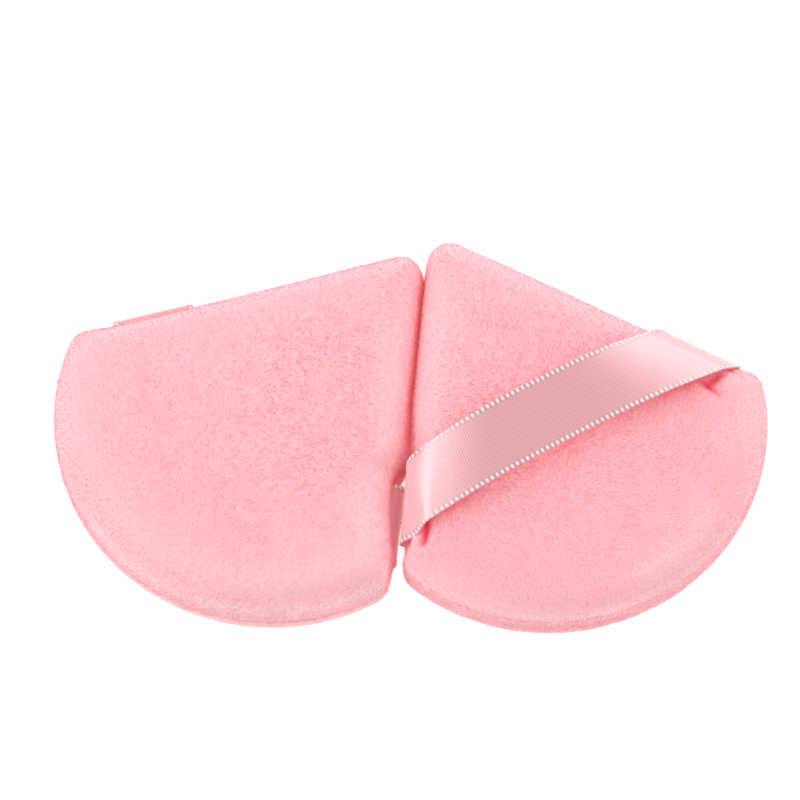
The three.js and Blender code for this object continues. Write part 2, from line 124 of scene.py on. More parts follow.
def written(mesh, name, values):
    """Stores a number or a direction for each point of a mesh under a name."""
    values = np.asarray(values, np.float32)
    kind, field = ("FLOAT", "value") if values.ndim == 1 else ("FLOAT_VECTOR", "vector")
    attribute = mesh.attributes.new(name, kind, "POINT")
    attribute.data.foreach_set(field, values.ravel())


def eased(share):
    """0 to 1 with a soft start and a soft end."""
    share = np.clip(share, 0, 1)
    return share * share * (3 - 2 * share)


def unit(directions):
    """Directions of length 1."""
    return directions / np.maximum(np.linalg.norm(directions, axis=-1, keepdims=True), 1e-9)


# %% [markdown]
# ## Camera
#
# The picture was taken from above the near side. The angle, the distance and the place of the
# table's middle in the picture come from fitting both outlines at once. Shifting the lens keeps
# the view square to the camera while the pair sits a little right of and below the middle.

# %% Camera
PICTURE = 800
TARGET_PIXEL = (411.4, 436.2)
PIXELS_PER_MM = 5.882
CAMERA_ELEVATION = 65.7 * DEGREE
CAMERA_DISTANCE = 717
CAMERA_TARGET = metres(0, 0, 7.5)
SENSOR = 36

camera_data = bpy.data.cameras.new("camera")
camera_data.sensor_width = SENSOR
camera_data.lens = SENSOR * CAMERA_DISTANCE * PIXELS_PER_MM / PICTURE
camera_data.shift_x = (PICTURE / 2 - TARGET_PIXEL[0]) / PICTURE
camera_data.shift_y = (TARGET_PIXEL[1] - PICTURE / 2) / PICTURE
camera_data.clip_start = 0.01
camera = bpy.data.objects.new("camera", camera_data)
scene.collection.objects.link(camera)
back = Vector((0, -math.cos(CAMERA_ELEVATION), math.sin(CAMERA_ELEVATION)))
camera.location = CAMERA_TARGET + back * CAMERA_DISTANCE * MM
camera.rotation_euler = (-back).to_track_quat("-Z", "Y").to_euler()
scene.camera = camera
print(f"lens {camera_data.lens:.0f} mm")

# %% [markdown]
# ## Building node trees
#
# Materials and Geometry Nodes are both trees of nodes. A few small helpers keep them readable. The
# main one adds a node with its settings and inputs: an input that is given another node's output
# becomes a link, and anything else becomes the socket's own value. The rest name the sums, blends
# and lookups that come back again and again.

# %% Adding a node
def socket(sockets, key):
    """The socket of that name that is in use, or the one at that place in the row."""
    if isinstance(key, int):
        return sockets[key]
    return next(s for s in sockets if s.name == key and s.enabled)


def feed(tree, node, inputs):
    """Links each input to the output that it is given, or sets the value that it is given."""
    for key, value in inputs.items():
        target = socket(node.inputs, key)
        if isinstance(value, bpy.types.NodeSocket):
            tree.links.new(value, target)
        else:
            target.default_value = value


def put(tree, kind, inputs=None, **settings):
    """Adds a node to a tree."""
    node = tree.nodes.new(kind)
    for name, value in settings.items():
        setattr(node, name, value)
    feed(tree, node, inputs or {})
    return node


# %% Sums, blends and lookups
def sums(tree, operation, *values):
    """The result of one sum on numbers or outputs, in a shader or a geometry tree."""
    return put(tree, "ShaderNodeMath", dict(enumerate(values)), operation=operation).outputs[0]


def vectors(tree, operation, *values):
    """The result of one sum on vectors."""
    node = put(tree, "ShaderNodeVectorMath", dict(enumerate(values)), operation=operation)
    return node.outputs["Value" if operation == "DOT_PRODUCT" else "Vector"]


def scaled(tree, vector, factor):
    """A vector times a number."""
    inputs = {0: vector, "Scale": factor}
    return put(tree, "ShaderNodeVectorMath", inputs, operation="SCALE").outputs["Vector"]


def blended(tree, share, first, second):
    """A colour between two colours."""
    inputs = {"Factor": share, "A": first, "B": second}
    return put(tree, "ShaderNodeMix", inputs, data_type="RGBA").outputs[2]


def mapped(tree, value, edges, results=(0.0, 1.0)):
    """A value mapped from between two edges to between two results, and held past them."""
    inputs = {0: value, 1: edges[0], 2: edges[1], 3: results[0], 4: results[1]}
    return put(tree, "ShaderNodeMapRange", inputs).outputs[0]


def wave(tree, along, pitch):
    """0 to 1 and back over each pitch."""
    turn = sums(tree, "DIVIDE", sums(tree, "MULTIPLY", along, 2 * math.pi), pitch)
    return sums(tree, "MULTIPLY_ADD", sums(tree, "SINE", turn), 0.5, 0.5)


def stored(tree, name):
    """A number stored on the mesh, read in a shader tree."""
    return put(tree, "ShaderNodeAttribute", attribute_name=name).outputs["Fac"]


def own_place(tree):
    """Where a point of the surface lies, in the object's own coordinates."""
    return put(tree, "ShaderNodeTexCoord").outputs["Object"]


def raised(tree, height, strength, depth):
    """The normal of a surface with a height on it, its depth in millimetres."""
    inputs = {"Strength": strength, "Distance": depth * MM, "Height": height}
    return put(tree, "ShaderNodeBump", inputs).outputs[0]


# %% [markdown]
# ## Running a Geometry Nodes tree
#
# A tree with named inputs works like a tool with dials: it is built once and used on several
# meshes with other values. Its result is then taken as a plain mesh, so that nothing is left to
# be worked out again later. A modifier knows an input by its identifier, and not by its name.

# %% Geometry Nodes helpers
def named(tree, label, kind="FLOAT"):
    """An attribute of the mesh, read in a Geometry Nodes tree."""
    inputs = {"Name": label}
    return put(tree, "GeometryNodeInputNamedAttribute", inputs, data_type=kind).outputs[0]


def labelled(tree, geometry, label, value, kind="FLOAT"):
    """The geometry with a value stored on it under a name."""
    inputs = {"Geometry": geometry, "Name": label, "Value": value}
    return put(tree, "GeometryNodeStoreNamedAttribute", inputs, data_type=kind).outputs[0]


def geometry_tree(name, inputs):
    """An empty Geometry Nodes tree with named inputs, and its first node."""
    tree = bpy.data.node_groups.new(name, "GeometryNodeTree")
    tree.interface.new_socket("Geometry", in_out="INPUT", socket_type="NodeSocketGeometry")
    tree.interface.new_socket("Geometry", in_out="OUTPUT", socket_type="NodeSocketGeometry")
    for label, kind in inputs.items():
        tree.interface.new_socket(label, in_out="INPUT", socket_type="NodeSocket" + kind)
    return tree, put(tree, "NodeGroupInput").outputs


def finished_tree(tree, geometry, material):
    """Ends a tree: the copies are made real and get their material."""
    real = put(tree, "GeometryNodeRealizeInstances", {0: geometry}).outputs[0]
    inputs = {"Geometry": real, "Material": material}
    coloured = put(tree, "GeometryNodeSetMaterial", inputs).outputs[0]
    put(tree, "NodeGroupOutput", {0: coloured})


def grown(name, base, tree, values):
    """Runs a tree on a mesh and gives the result as a plain mesh."""
    holder = bpy.data.objects.new(name + "_base", base)
    scene.collection.objects.link(holder)
    modifier = holder.modifiers.new(name, "NODES")
    modifier.node_group = tree
    for item in tree.interface.items_tree:
        if item.item_type == "SOCKET" and item.in_out == "INPUT" and item.name in values:
            modifier[item.identifier] = values[item.name]
    holder.update_tag()
    graph = bpy.context.evaluated_depsgraph_get()
    mesh = bpy.data.meshes.new_from_object(holder.evaluated_get(graph), depsgraph=graph)
    bpy.data.objects.remove(holder)
    mesh.name = name
    return mesh


# %% Material helpers
def material(name):
    """A material with its tree and its shader."""
    made = bpy.data.materials.new(name)
    made.use_nodes = True
    tree = made.node_tree
    tree.nodes.clear()
    shader = put(tree, "ShaderNodeBsdfPrincipled")
    put(tree, "ShaderNodeOutputMaterial", {"Surface": shader.outputs[0]})
    return made, tree, shader


def shader_group(name, inputs, outputs):
    """An empty shader node group with named inputs and outputs."""
    tree = bpy.data.node_groups.new(name, "ShaderNodeTree")
    for label, kind in inputs.items():
        tree.interface.new_socket(label, in_out="INPUT", socket_type="NodeSocket" + kind)
    for label, kind in outputs.items():
        tree.interface.new_socket(label, in_out="OUTPUT", socket_type="NodeSocket" + kind)
    return tree, put(tree, "NodeGroupInput").outputs


def use_group(tree, group, inputs):
    """Places a shader node group in a material."""
    return put(tree, "ShaderNodeGroup", inputs, node_tree=group).outputs


# %% [markdown]
# ## Table, light and background
#
# The pair lies on white under wide soft lamps, so it has hardly any shadow. The world gives most
# of the light. Three soft boxes stand left, right and near the camera, and only the near one casts
# a shadow. The far side is left darker: flat satin mirrors that side, so the ribbon's middle looks
# deeper than its bends.
#
# The table is plain white paper. The camera sees it lit a little more than it is, which
# keeps the shadow and turns the rest to white, and from below it is clear.

# %% Lamps
WORLD_LEVEL = 0.85
FLAG_LEVEL = 0.43
FLAG_DIRECTION = (0, 0.41, 0.91)
FLAG_EDGES = (0.6, 0.95)
SHADOW_CASTER = "near_softbox"
LAMPS = {
    # azimuth and elevation in degrees, distance and size in metres, level
    "left_softbox": (-115, 30, 0.9, 0.6, 0.44),
    "right_softbox": (143, 20, 0.9, 0.7, 0.52),
    "near_softbox": (8, 40, 1.0, 0.9, 0.09),
}


def softbox(name, azimuth, elevation, distance, size, level):
    """A square lamp facing the pair, bright enough to add that level to a surface facing it."""
    light = bpy.data.lights.new(name, "AREA")
    light.size = size
    light.energy = level * math.pi**2 * distance**2
    light.use_shadow = name == SHADOW_CASTER
    lamp = bpy.data.objects.new(name, light)
    turn, rise = azimuth * DEGREE, elevation * DEGREE
    level_way = math.cos(rise)
    way = Vector((math.sin(turn) * level_way, -math.cos(turn) * level_way, math.sin(rise)))
    lamp.location = way * distance
    lamp.rotation_euler = (-way).to_track_quat("-Z", "Y").to_euler()
    scene.collection.objects.link(lamp)


for name, values in LAMPS.items():
    softbox(name, *values)
scene.view_settings.view_transform = "Standard"
print("lamps:", ", ".join(LAMPS))

# %% World
world = bpy.data.worlds.new("studio")
world.use_nodes = True
scene.world = world
studio = world.node_tree
studio.nodes.clear()
rays = put(studio, "ShaderNodeLightPath").outputs
way = put(studio, "ShaderNodeTexCoord").outputs["Generated"]
towards = vectors(studio, "DOT_PRODUCT", way, FLAG_DIRECTION)
level = mapped(studio, towards, FLAG_EDGES, (WORLD_LEVEL, FLAG_LEVEL))
inputs = {"Factor": rays["Is Camera Ray"], "A": level, "B": 1.0}
seen_level = put(studio, "ShaderNodeMix", inputs, data_type="FLOAT").outputs[0]
sky = put(studio, "ShaderNodeBackground", {"Color": (1, 1, 1, 1), "Strength": seen_level})
put(studio, "ShaderNodeOutputWorld", {"Surface": sky.outputs[0]})
print(f"world at {WORLD_LEVEL}, its far side at {FLAG_LEVEL}")

# %% Table
TABLE_SIZE = 3000
TABLE_WHITE = 0.9
TABLE_LIFT = 0.45

half = TABLE_SIZE / 2
corners = [(-half, -half, 0), (half, -half, 0), (half, half, 0), (-half, half, 0)]
table_mesh = bpy.data.meshes.new("table")
table_mesh.from_pydata([metres(*corner) for corner in corners], [], [(0, 1, 2, 3)])
table = shown("table", table_mesh)
paper, tree, shader = material("white_paper")
seen = put(tree, "ShaderNodeLightPath").outputs["Is Camera Ray"]
finish = {
    "Base Color": (TABLE_WHITE, TABLE_WHITE, TABLE_WHITE, 1),
    "Roughness": 1,
    "Specular IOR Level": 0,
    "Emission Color": (1, 1, 1, 1),
    "Emission Strength": sums(tree, "MULTIPLY", seen, TABLE_LIFT),
}
feed(tree, shader, finish)
under = put(tree, "ShaderNodeNewGeometry").outputs["Backfacing"]
clear = put(tree, "ShaderNodeBsdfTransparent").outputs[0]
both = put(tree, "ShaderNodeMixShader", {0: under, 1: shader.outputs[0], 2: clear})
tree.links.new(both.outputs[0], tree.nodes["Material Output"].inputs["Surface"])
table_mesh.materials.append(paper)
print(f"table {TABLE_SIZE} mm wide")

# %% [markdown]
# ## The outline of a puff
#
# Each puff is worked out in a frame of its own: the origin is at the middle of the round side's
# curve on the front face, +Y points to the apex, +Z to the ribbon side and +X to the ribbon's
# outer end. Half of the outline is a small arc at the apex, a straight side, a corner arc and a
# stretch of the round side. Moving all of it in by an inset gives the rings that a skin is laid
# over.

# %% Sizes of a puff
OUTER, INNER = 1, -1
FRONT, BACK = -1, 1
SIDE_WORDS = {OUTER: "outer", INNER: "inner"}
WAY_WORDS = {FRONT: "front", BACK: "back"}

APEX_HALF_ANGLE = 34.7 * DEGREE
APEX_FROM_CENTRE = 41.4
APEX_RADIUS = 4
CORNER_RADIUS = 4.7
ROUND_SIDE_DEPTH = 36.5
ROUND_SIDE_REACH = 37.3
RIM_THICKNESS = 14.4
SEAM_HEIGHT = 9
FRONT_EDGE_RADIUS = 5.5
BACK_EDGE_RADIUS = 4.2
SEAM_DRAW = 1
SEAM_DIP = 0.15
SEAM_ALLOWANCE = 3
CLEARANCE = 0.3
LIP_GAP = 0.08
LIP_DEPTH = 0.6
SHARPEST_FOLD = 0.3
FACE_DIP = 2

# how far a sewn-in end of the ribbon pulls its side in
PINCH = 1
FIRM_PINCH = 1.3
SLACK_PINCH = 0.55
NOTCH_PINCH = 1.5
NOTCH_BACK_PINCH = 0.4
PINCH_HEIGHT = 12
PINCH_FROM_MIDDLE = 10

# where along the side it pulls: shift from the slot, half the stretch that it pulls in full, and
# how far it fades out towards the apex and the corner
GATHER = {"shift": 0, "flat": 4.6, "to_apex": 40, "to_corner": 10}
WRAPPED_GATHER = {"shift": 0, "flat": 4.6, "to_apex": 16, "to_corner": 10}
NOTCH_GATHER = {"shift": -5, "flat": 0.8, "to_apex": 6, "to_corner": 13}

# how the side that faces the other puff swells towards it
PLUMP = {"least": 0.2, "by_distance": 0.03}
PLUMP_HALF_HEIGHT = 5
PLUMP_FROM_SLOT = 5
PLUMP_END = 8
OUTLINE_STEPS = {"apex": 8, "side": 110, "corner": 10, "round": 90}

ROUND_STRETCH = ROUND_SIDE_REACH / ROUND_SIDE_DEPTH
DRAWN_HALF_ANGLE = math.atan(math.tan(APEX_HALF_ANGLE) / ROUND_STRETCH)
SIDE_FROM_CENTRE = APEX_FROM_CENTRE * math.sin(APEX_HALF_ANGLE)


# %% The outline
def arc(centre, radius, start, stop, steps):
    """Points and normals round a centre, from one angle to another."""
    angles = np.linspace(start, stop, steps + 1)
    normals = np.column_stack([np.cos(angles), np.sin(angles)])
    return centre + radius * normals, normals


def half_outline(inset):
    """Points and normals from the apex down the outer side to the round side's middle."""
    apex_radius = max(APEX_RADIUS - inset, SHARPEST_FOLD)
    corner_radius = max(CORNER_RADIUS - inset, SHARPEST_FOLD)
    round_radius = ROUND_SIDE_DEPTH - inset
    sine, cosine = math.sin(DRAWN_HALF_ANGLE), math.cos(DRAWN_HALF_ANGLE)
    normal, down = np.array([cosine, sine]), np.array([sine, -cosine])
    tip = np.array([0, APEX_FROM_CENTRE - inset / sine])
    apex_centre = np.array([0, tip[1] - apex_radius / sine])
    start = tip - corner_radius * normal
    nearest = -start @ down
    span = (round_radius - corner_radius) ** 2 - start @ start + nearest**2
    corner_centre = start + down * (nearest + math.sqrt(span))
    turn = math.atan2(corner_centre[1], corner_centre[0])
    steps = OUTLINE_STEPS
    apex = arc(apex_centre, apex_radius, math.pi / 2, DRAWN_HALF_ANGLE, steps["apex"])
    corner = arc(corner_centre, corner_radius, DRAWN_HALF_ANGLE, turn, steps["corner"])
    far = arc(np.zeros(2), round_radius, turn, -math.pi / 2, steps["round"])
    shares = np.linspace(0, 1, steps["side"] + 1)[1:-1, None]
    side = apex[0][-1] + shares * (corner[0][0] - apex[0][-1])
    places = np.concatenate([apex[0], side, corner[0], far[0][1:]])
    normals = np.concatenate([apex[1], np.tile(normal, (len(side), 1)), corner[1], far[1][1:]])
    places = places * [ROUND_STRETCH, 1]
    normals = normals / [ROUND_STRETCH, 1]
    return places, normals / np.linalg.norm(normals, axis=1)[:, None]


def outline(inset):
    """The whole outline: points, normals and the side that each is on."""
    places, normals = half_outline(inset)
    mirror = np.array([-1, 1])
    places = np.concatenate([places, places[-2:0:-1] * mirror])
    normals = np.concatenate([normals, normals[-2:0:-1] * mirror])
    count = len(places) // 2 + 1
    return places, normals, np.where(np.arange(len(places)) < count, OUTER, INNER)


COLUMNS = len(outline(0)[0])
print(f"{COLUMNS} columns round a puff")

# %% [markdown]
# ## How each puff lies, and its ribbon's path
#
# The two puffs are the same but for how they lie. The left one presses its ribbon flat against
# the table, and one end of it stands off the side. The right one's ribbon arches over its back,
# turns over both edges and goes down into the seam. Where a ribbon is sewn in it pulls the soft
# side in, and beyond it the side that faces the other puff swells a little.
#
# A point of the ribbon is found from how far along and how far across it is. Over the back it
# runs level or in an arch. Past the crossing it turns over the edge, drops to the seam, folds in
# and ends between the covers.

# %% Ribbon sizes
RIBBON_WIDTH = 12.5
RIBBON_THICKNESS = 0.4
RIBBON_FROM_CENTRE = -1.5
RIBBON_ARCH = 4.8
TAIL_GATHER_SHARE = 0.05
ARCH_REACH_POWER = 3
ARCH_EASE_POWER = 1.5
ARCH_FOOT = 5
AISLE_TURN = 5.4 * DEGREE
AISLE_SPREAD = 0.9 * DEGREE

# a ribbon end's shift from its usual place, how far it stands off the side, how far one edge and
# the middle stand out past the rest, and the radius of its fold into the seam
PRESSED_END = {"shift": 4, "stand_off": 3.4, "tilt": 0, "curl": 0, "fold": 1.3}
WRAPPED_END = {"shift": 1.5, "stand_off": 1.1, "tilt": 0.4, "curl": 0.3, "fold": 1.6}
SNUG_END = {"shift": -0.6, "stand_off": 0.2, "tilt": 0.5, "curl": 0, "fold": 0.6}
CLOSE_END = {"shift": 0, "stand_off": 0.6, "tilt": 0.9, "curl": 0.6, "fold": 0.6}


# %% One end of the ribbon
class RibbonEnd:
    """One end of the ribbon, in the plane square to its straight side. The other end may be shifted
    otherwise, so the ribbon's middle has a shift of its own."""

    def __init__(self, middle_shift, top, shift, stand_off, tilt, curl, fold):
        self.centre = RIBBON_FROM_CENTRE + shift
        self.middle_centre = RIBBON_FROM_CENTRE + middle_shift
        self.tilt, self.curl = tilt, curl
        self.out = stand_off + RIBBON_THICKNESS / 2 - PINCH
        self.top, self.fold = top, fold
        widest = BACK_EDGE_RADIUS + CLEARANCE + RIBBON_THICKNESS / 2
        self.bend = min(widest, top - SEAM_HEIGHT - fold)
        drop = top - SEAM_HEIGHT - self.bend - fold
        self.bend_end = self.bend * math.pi / 2
        self.fold_start = self.bend_end + drop
        self.fold_end = self.fold_start + fold * math.pi / 2
        self.tail_end = self.fold_end + self.out - fold + SEAM_DRAW + SEAM_ALLOWANCE
        self.start = self.out - self.bend

    def place(self, travel):
        """Distance out from the side, and height, at a travel past the bend's start."""
        fold = self.fold
        turn = np.clip(travel, 0, self.bend_end) / self.bend
        drop = np.clip(travel, self.bend_end, self.fold_start) - self.bend_end
        fold_turn = (np.clip(travel, self.fold_start, self.fold_end) - self.fold_start) / fold
        tail = np.clip(travel - self.fold_end, 0, None)
        out = self.start + self.bend * np.sin(turn) - fold * (1 - np.cos(fold_turn)) - tail
        level = self.top - self.bend * (1 - np.cos(turn)) - drop - fold * np.sin(fold_turn)
        return out, level

    def crossing(self, y):
        """How far from the puff's middle line the flat ribbon starts to bend at a height y."""
        reach = self.start + SIDE_FROM_CENTRE - y * math.sin(APEX_HALF_ANGLE)
        return reach / math.cos(APEX_HALF_ANGLE)

    def station(self, travel, across=0):
        """The position along the ribbon at a travel past the bend's start."""
        return self.crossing(self.centre + across) + travel / math.cos(APEX_HALF_ANGLE)


# %% A puff
def downhill(places):
    """How far points lie from the apex's tip, measured along the straight side."""
    down = APEX_FROM_CENTRE - places[:, 1]
    return np.abs(places[:, 0]) * math.sin(APEX_HALF_ANGLE) + down * math.cos(APEX_HALF_ANGLE)


STRAIGHT_END = downhill(half_outline(0)[0])[OUTLINE_STEPS["apex"] + OUTLINE_STEPS["side"]]


class Puff:
    """How one puff lies: crowns, ribbon and place on the table. way is 1 with the front down and -1
    with the back down. What is a pair has the outer side's value first."""

    def __init__(self, name, way, crowns, top, arch, ends, pinches, back_pinches, gathers, plump):
        self.name, self.way, self.crowns, self.arch = name, way, crowns, arch
        self.pinches, self.back_pinches = pinches, back_pinches
        self.gathers, self.plump = gathers, plump
        middle = sum(end["shift"] for end in ends) / 2
        self.ends = {side: RibbonEnd(middle, top, **end) for side, end in zip(SIDE_WORDS, ends)}
        self.slots = {side: self.slot_distance(side) for side in self.ends}
        self.turn = way * (APEX_HALF_ANGLE + AISLE_SPREAD / 2) - AISLE_TURN
        self.origin = np.zeros(3)
        self.settle()

    def ribbon_point(self, side, station, across):
        """Points of the ribbon's middle surface on one half, its middle at station 0."""
        end = self.ends[side]
        bend_at = end.crossing(end.centre + across)
        share = np.clip(station / bend_at, 0, 1)
        y = end.middle_centre + (end.centre - end.middle_centre) * share + across
        foot = np.clip(station / (bend_at + ARCH_FOOT), 0, 1)
        rise = self.arch * (1 - foot**ARCH_REACH_POWER) ** ARCH_EASE_POWER
        flat = np.stack([np.minimum(station, bend_at), y, end.top + rise], axis=-1)
        travel = np.clip(station - bend_at, 0, None) * math.cos(APEX_HALF_ANGLE)
        out, level = end.place(travel)
        turned = np.minimum(travel, end.fold_start)
        bulge = np.sin(np.pi * np.clip(turned / end.fold_start, 0, 1)) ** 2
        edge = across / (RIBBON_WIDTH / 2)
        out = out + (end.tilt * edge - end.curl * edge**2) * bulge
        slip = end.start + turned - turned**2 / (2 * end.fold_start)
        width = 1 - TAIL_GATHER_SHARE * (turned / end.fold_start) ** 2
        down = (APEX_FROM_CENTRE - end.centre - across * width) / math.cos(APEX_HALF_ANGLE)
        down = down + slip * math.tan(APEX_HALF_ANGLE)
        x = down * math.sin(APEX_HALF_ANGLE) + out * math.cos(APEX_HALF_ANGLE)
        y = APEX_FROM_CENTRE - down * math.cos(APEX_HALF_ANGLE) + out * math.sin(APEX_HALF_ANGLE)
        bent = np.stack([x, y, level + rise], axis=-1)
        points = np.where((station <= bend_at)[..., None], flat, bent)
        return points * [side, 1, 1]

    def slot_distance(self, side):
        """Where the ribbon enters the seam, as a distance down the straight side."""
        end = self.ends[side]
        station = np.array([end.station(end.fold_end)])
        return downhill(self.ribbon_point(side, station, np.zeros(1)))[0]

    def ring(self, inset, height, share=1, plump=1):
        """The outline as a loop at an inset and a height, pulled in beside the ribbon's ends."""
        places, normals, sides = outline(inset)
        level = 1 - min(1, abs(height - SEAM_HEIGHT) / PINCH_HEIGHT) ** 2
        low = max(0, 1 - max(height, 0) / FRONT_EDGE_RADIUS)
        dip = np.where(sides == INNER, FACE_DIP * low, 0)
        outer, inner = self.pinches if height < SEAM_HEIGHT else self.back_pinches
        pinch = np.where(sides == OUTER, outer, inner)
        draw = (pinch * level + dip) * self.gathered(places, sides)
        draw = draw * eased(np.abs(places[:, 0]) / PINCH_FROM_MIDDLE)
        draw = draw - plump * np.where(sides == INNER, self.plumpness(height), 0)
        across = np.full(COLUMNS, math.sin(APEX_HALF_ANGLE))
        square = np.column_stack([sides * math.cos(APEX_HALF_ANGLE), across])
        moved = (places - square * draw[:, None]) * share
        return np.column_stack([moved, np.full(COLUMNS, float(height))])

    def gathered(self, places, sides):
        """1 where the ribbon's slot pulls the side in, falling to 0 towards apex and corner."""
        pull = np.zeros(len(places))
        for side, gather in zip(SIDE_WORDS, self.gathers):
            offset = downhill(places) - self.slots[side] - gather["shift"]
            ramp = np.where(offset < 0, gather["to_apex"], gather["to_corner"])
            share = np.clip((np.abs(offset) - gather["flat"]) / ramp, 0, 1)
            pull = np.where(sides == side, (1 + np.cos(np.pi * share)) / 2, pull)
        return pull

    def plumpness(self, height):
        """How far the side that faces the other puff swells towards it, all along that side."""
        from_middle = min(1, abs(height - self.plump["height"]) / PLUMP_HALF_HEIGHT)
        bump = math.cos(math.pi / 2 * from_middle) ** 2
        down = downhill(outline(0)[0])
        ends = eased(down / PLUMP_END) * eased((STRAIGHT_END - down) / PLUMP_END)
        clear = eased((np.abs(down - self.slots[INNER]) - RIBBON_WIDTH / 2) / PLUMP_FROM_SLOT)
        clear = np.maximum(clear, self.plump["over_slot"])
        return (PLUMP["least"] + PLUMP["by_distance"] * down) * bump * ends * clear

    def settle(self):
        """Puts the puff where its front cover lies in the frame."""
        heights = np.linspace(FRONT_EDGE_RADIUS, SEAM_HEIGHT, 8)
        rings = [self.ring(0, height, plump=0) for height in heights]
        low = self.laid(np.concatenate(rings)).min(axis=0)
        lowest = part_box(self.name + "_front_cover")[0] / MM
        height = 0 if self.way > 0 else RIM_THICKNESS
        self.origin = np.array([lowest[0] - low[0], lowest[1] - low[1], height])

    def laid(self, points):
        """Points of the puff's own frame, laid down on the table."""
        sine, cosine = math.sin(self.turn), math.cos(self.turn)
        x, y, z = points[..., 0] * self.way, points[..., 1], points[..., 2] * self.way
        turned = [x * cosine - y * sine, x * sine + y * cosine, z]
        return np.stack(turned, axis=-1) + self.origin


LEFT = Puff(
    "left",
    -1,
    crowns={FRONT: 1, BACK: 0},
    top=RIM_THICKNESS - RIBBON_THICKNESS / 2,
    arch=0,
    ends=(PRESSED_END, WRAPPED_END),
    pinches=(SLACK_PINCH, NOTCH_PINCH),
    back_pinches=(SLACK_PINCH, NOTCH_BACK_PINCH),
    gathers=(GATHER, NOTCH_GATHER),
    plump={"height": 9, "over_slot": 0},
)
RIGHT = Puff(
    "right",
    1,
    crowns={FRONT: 0, BACK: 0.4},
    top=RIM_THICKNESS + CLEARANCE + RIBBON_THICKNESS / 2,
    arch=RIBBON_ARCH,
    ends=(SNUG_END, CLOSE_END),
    pinches=(PINCH, FIRM_PINCH),
    back_pinches=(PINCH, FIRM_PINCH),
    gathers=(GATHER, WRAPPED_GATHER),
    plump={"height": 5.5, "over_slot": 1},
)
for puff in (LEFT, RIGHT):
    print(puff.name, "puff's own origin lies at", np.round(puff.origin, 2))

# %% [markdown]
# ## The covers
#
# A cover is a shell of knitted cloth: an outer skin, the allowance turned in at the seam, and an
# inner skin that the sponge fills. The pile stands on the outer skin, so the cloth itself lies a
# pile's height inside the size that the puff measures over its nap.

# %% Cover sections
PILE_HEIGHT = 0.4
CLOTH = 0.6
SWELL = 0.3
CROWN_ROWS = 58
CROWN_CROWDING = 0.75
EDGE_ROWS = 14
SIDE_ROWS = 8
SEAM_ROUNDING = 14
SEAM_CROWDING = 2.2
INNER_ROWS = 0.4
COARSE_ROWS = 0.35


def section(way, inset, rows=1.0):
    """Rows from a cover's middle to its seam, as share, inset, height and the normal's tilt out of
    level. way is -1 for the front and 1 for the back."""
    radius = FRONT_EDGE_RADIUS if way == FRONT else BACK_EDGE_RADIUS
    rim = 0 if way == FRONT else RIM_THICKNESS
    lip = SEAM_HEIGHT + way * LIP_GAP / 2
    face = rim - way * inset
    crowned = [
        (share**CROWN_CROWDING, radius, face, math.pi / 2)
        for share in np.linspace(0, 1, max(3, round(CROWN_ROWS * rows)) + 1)[:-1]
    ]
    edge = []
    for turn in np.linspace(math.pi / 2, 0, max(3, round(EDGE_ROWS * rows)) + 1):
        out = radius - inset
        drop = radius - out * math.sin(turn)
        edge.append((1, radius - out * math.cos(turn), rim - way * drop, turn))
    start = rim - way * radius
    side = []
    for share in np.linspace(0, 1, max(2, round(SIDE_ROWS * rows)) + 1)[1:]:
        step = 1 - (1 - share) ** SEAM_CROWDING
        draw = SEAM_DIP * step**SEAM_ROUNDING
        side.append((1, inset + draw, start + (lip - start) * step, 0))
    return crowned + edge + side


def skin_rows(puff, way, inset, rows=1.0):
    """A skin's rings and normals in the puff's own frame, from the middle to the seam."""
    crown = way * puff.crowns[way]
    flat = outline(FRONT_EDGE_RADIUS)[1]
    places, normals = [], []
    for share, row_inset, height, turn in section(way, inset, rows):
        ring = puff.ring(row_inset, height, share)
        ring[:, 2] += crown * (1 - share**2)
        places.append(ring)
        level = np.full(COLUMNS, way * math.sin(turn))
        normals.append(np.column_stack([flat * math.cos(turn), level]))
    return np.array(places), np.array(normals)


# %% [markdown]
# ## Filling the covers
#
# A stuffed puff isn't a cut block. The sponge pushes the cloth out, and the seam holds it back.
# Blender's cloth simulation does that: one closed skin of both covers is blown up a little while
# the seam is held. Cloth settings are made for things the size of clothes, so the copy that is
# simulated is ten times as large. What comes out is how far each place moved. The covers were laid
# a little inside the frame's size, so they get an even swelling back, a share of the simulated one
# on top, and no more than the frame has room for. The sponge follows them.

# %% Simulated swelling
SIM_SCALE = 10
SIM_VOXEL = 1.8
SIM_PRESSURE = 4
SIM_FRAMES = 20
SWELL_EVEN = 0.3
SWELL_MORE = 0.1
SWELL_CAP = 0.55
HELD_AT_SEAM = 0.5
HELD_NEAR_SEAM = 1.6
NEIGHBOURS = 12
NEIGHBOUR_SOFTNESS = 0.2


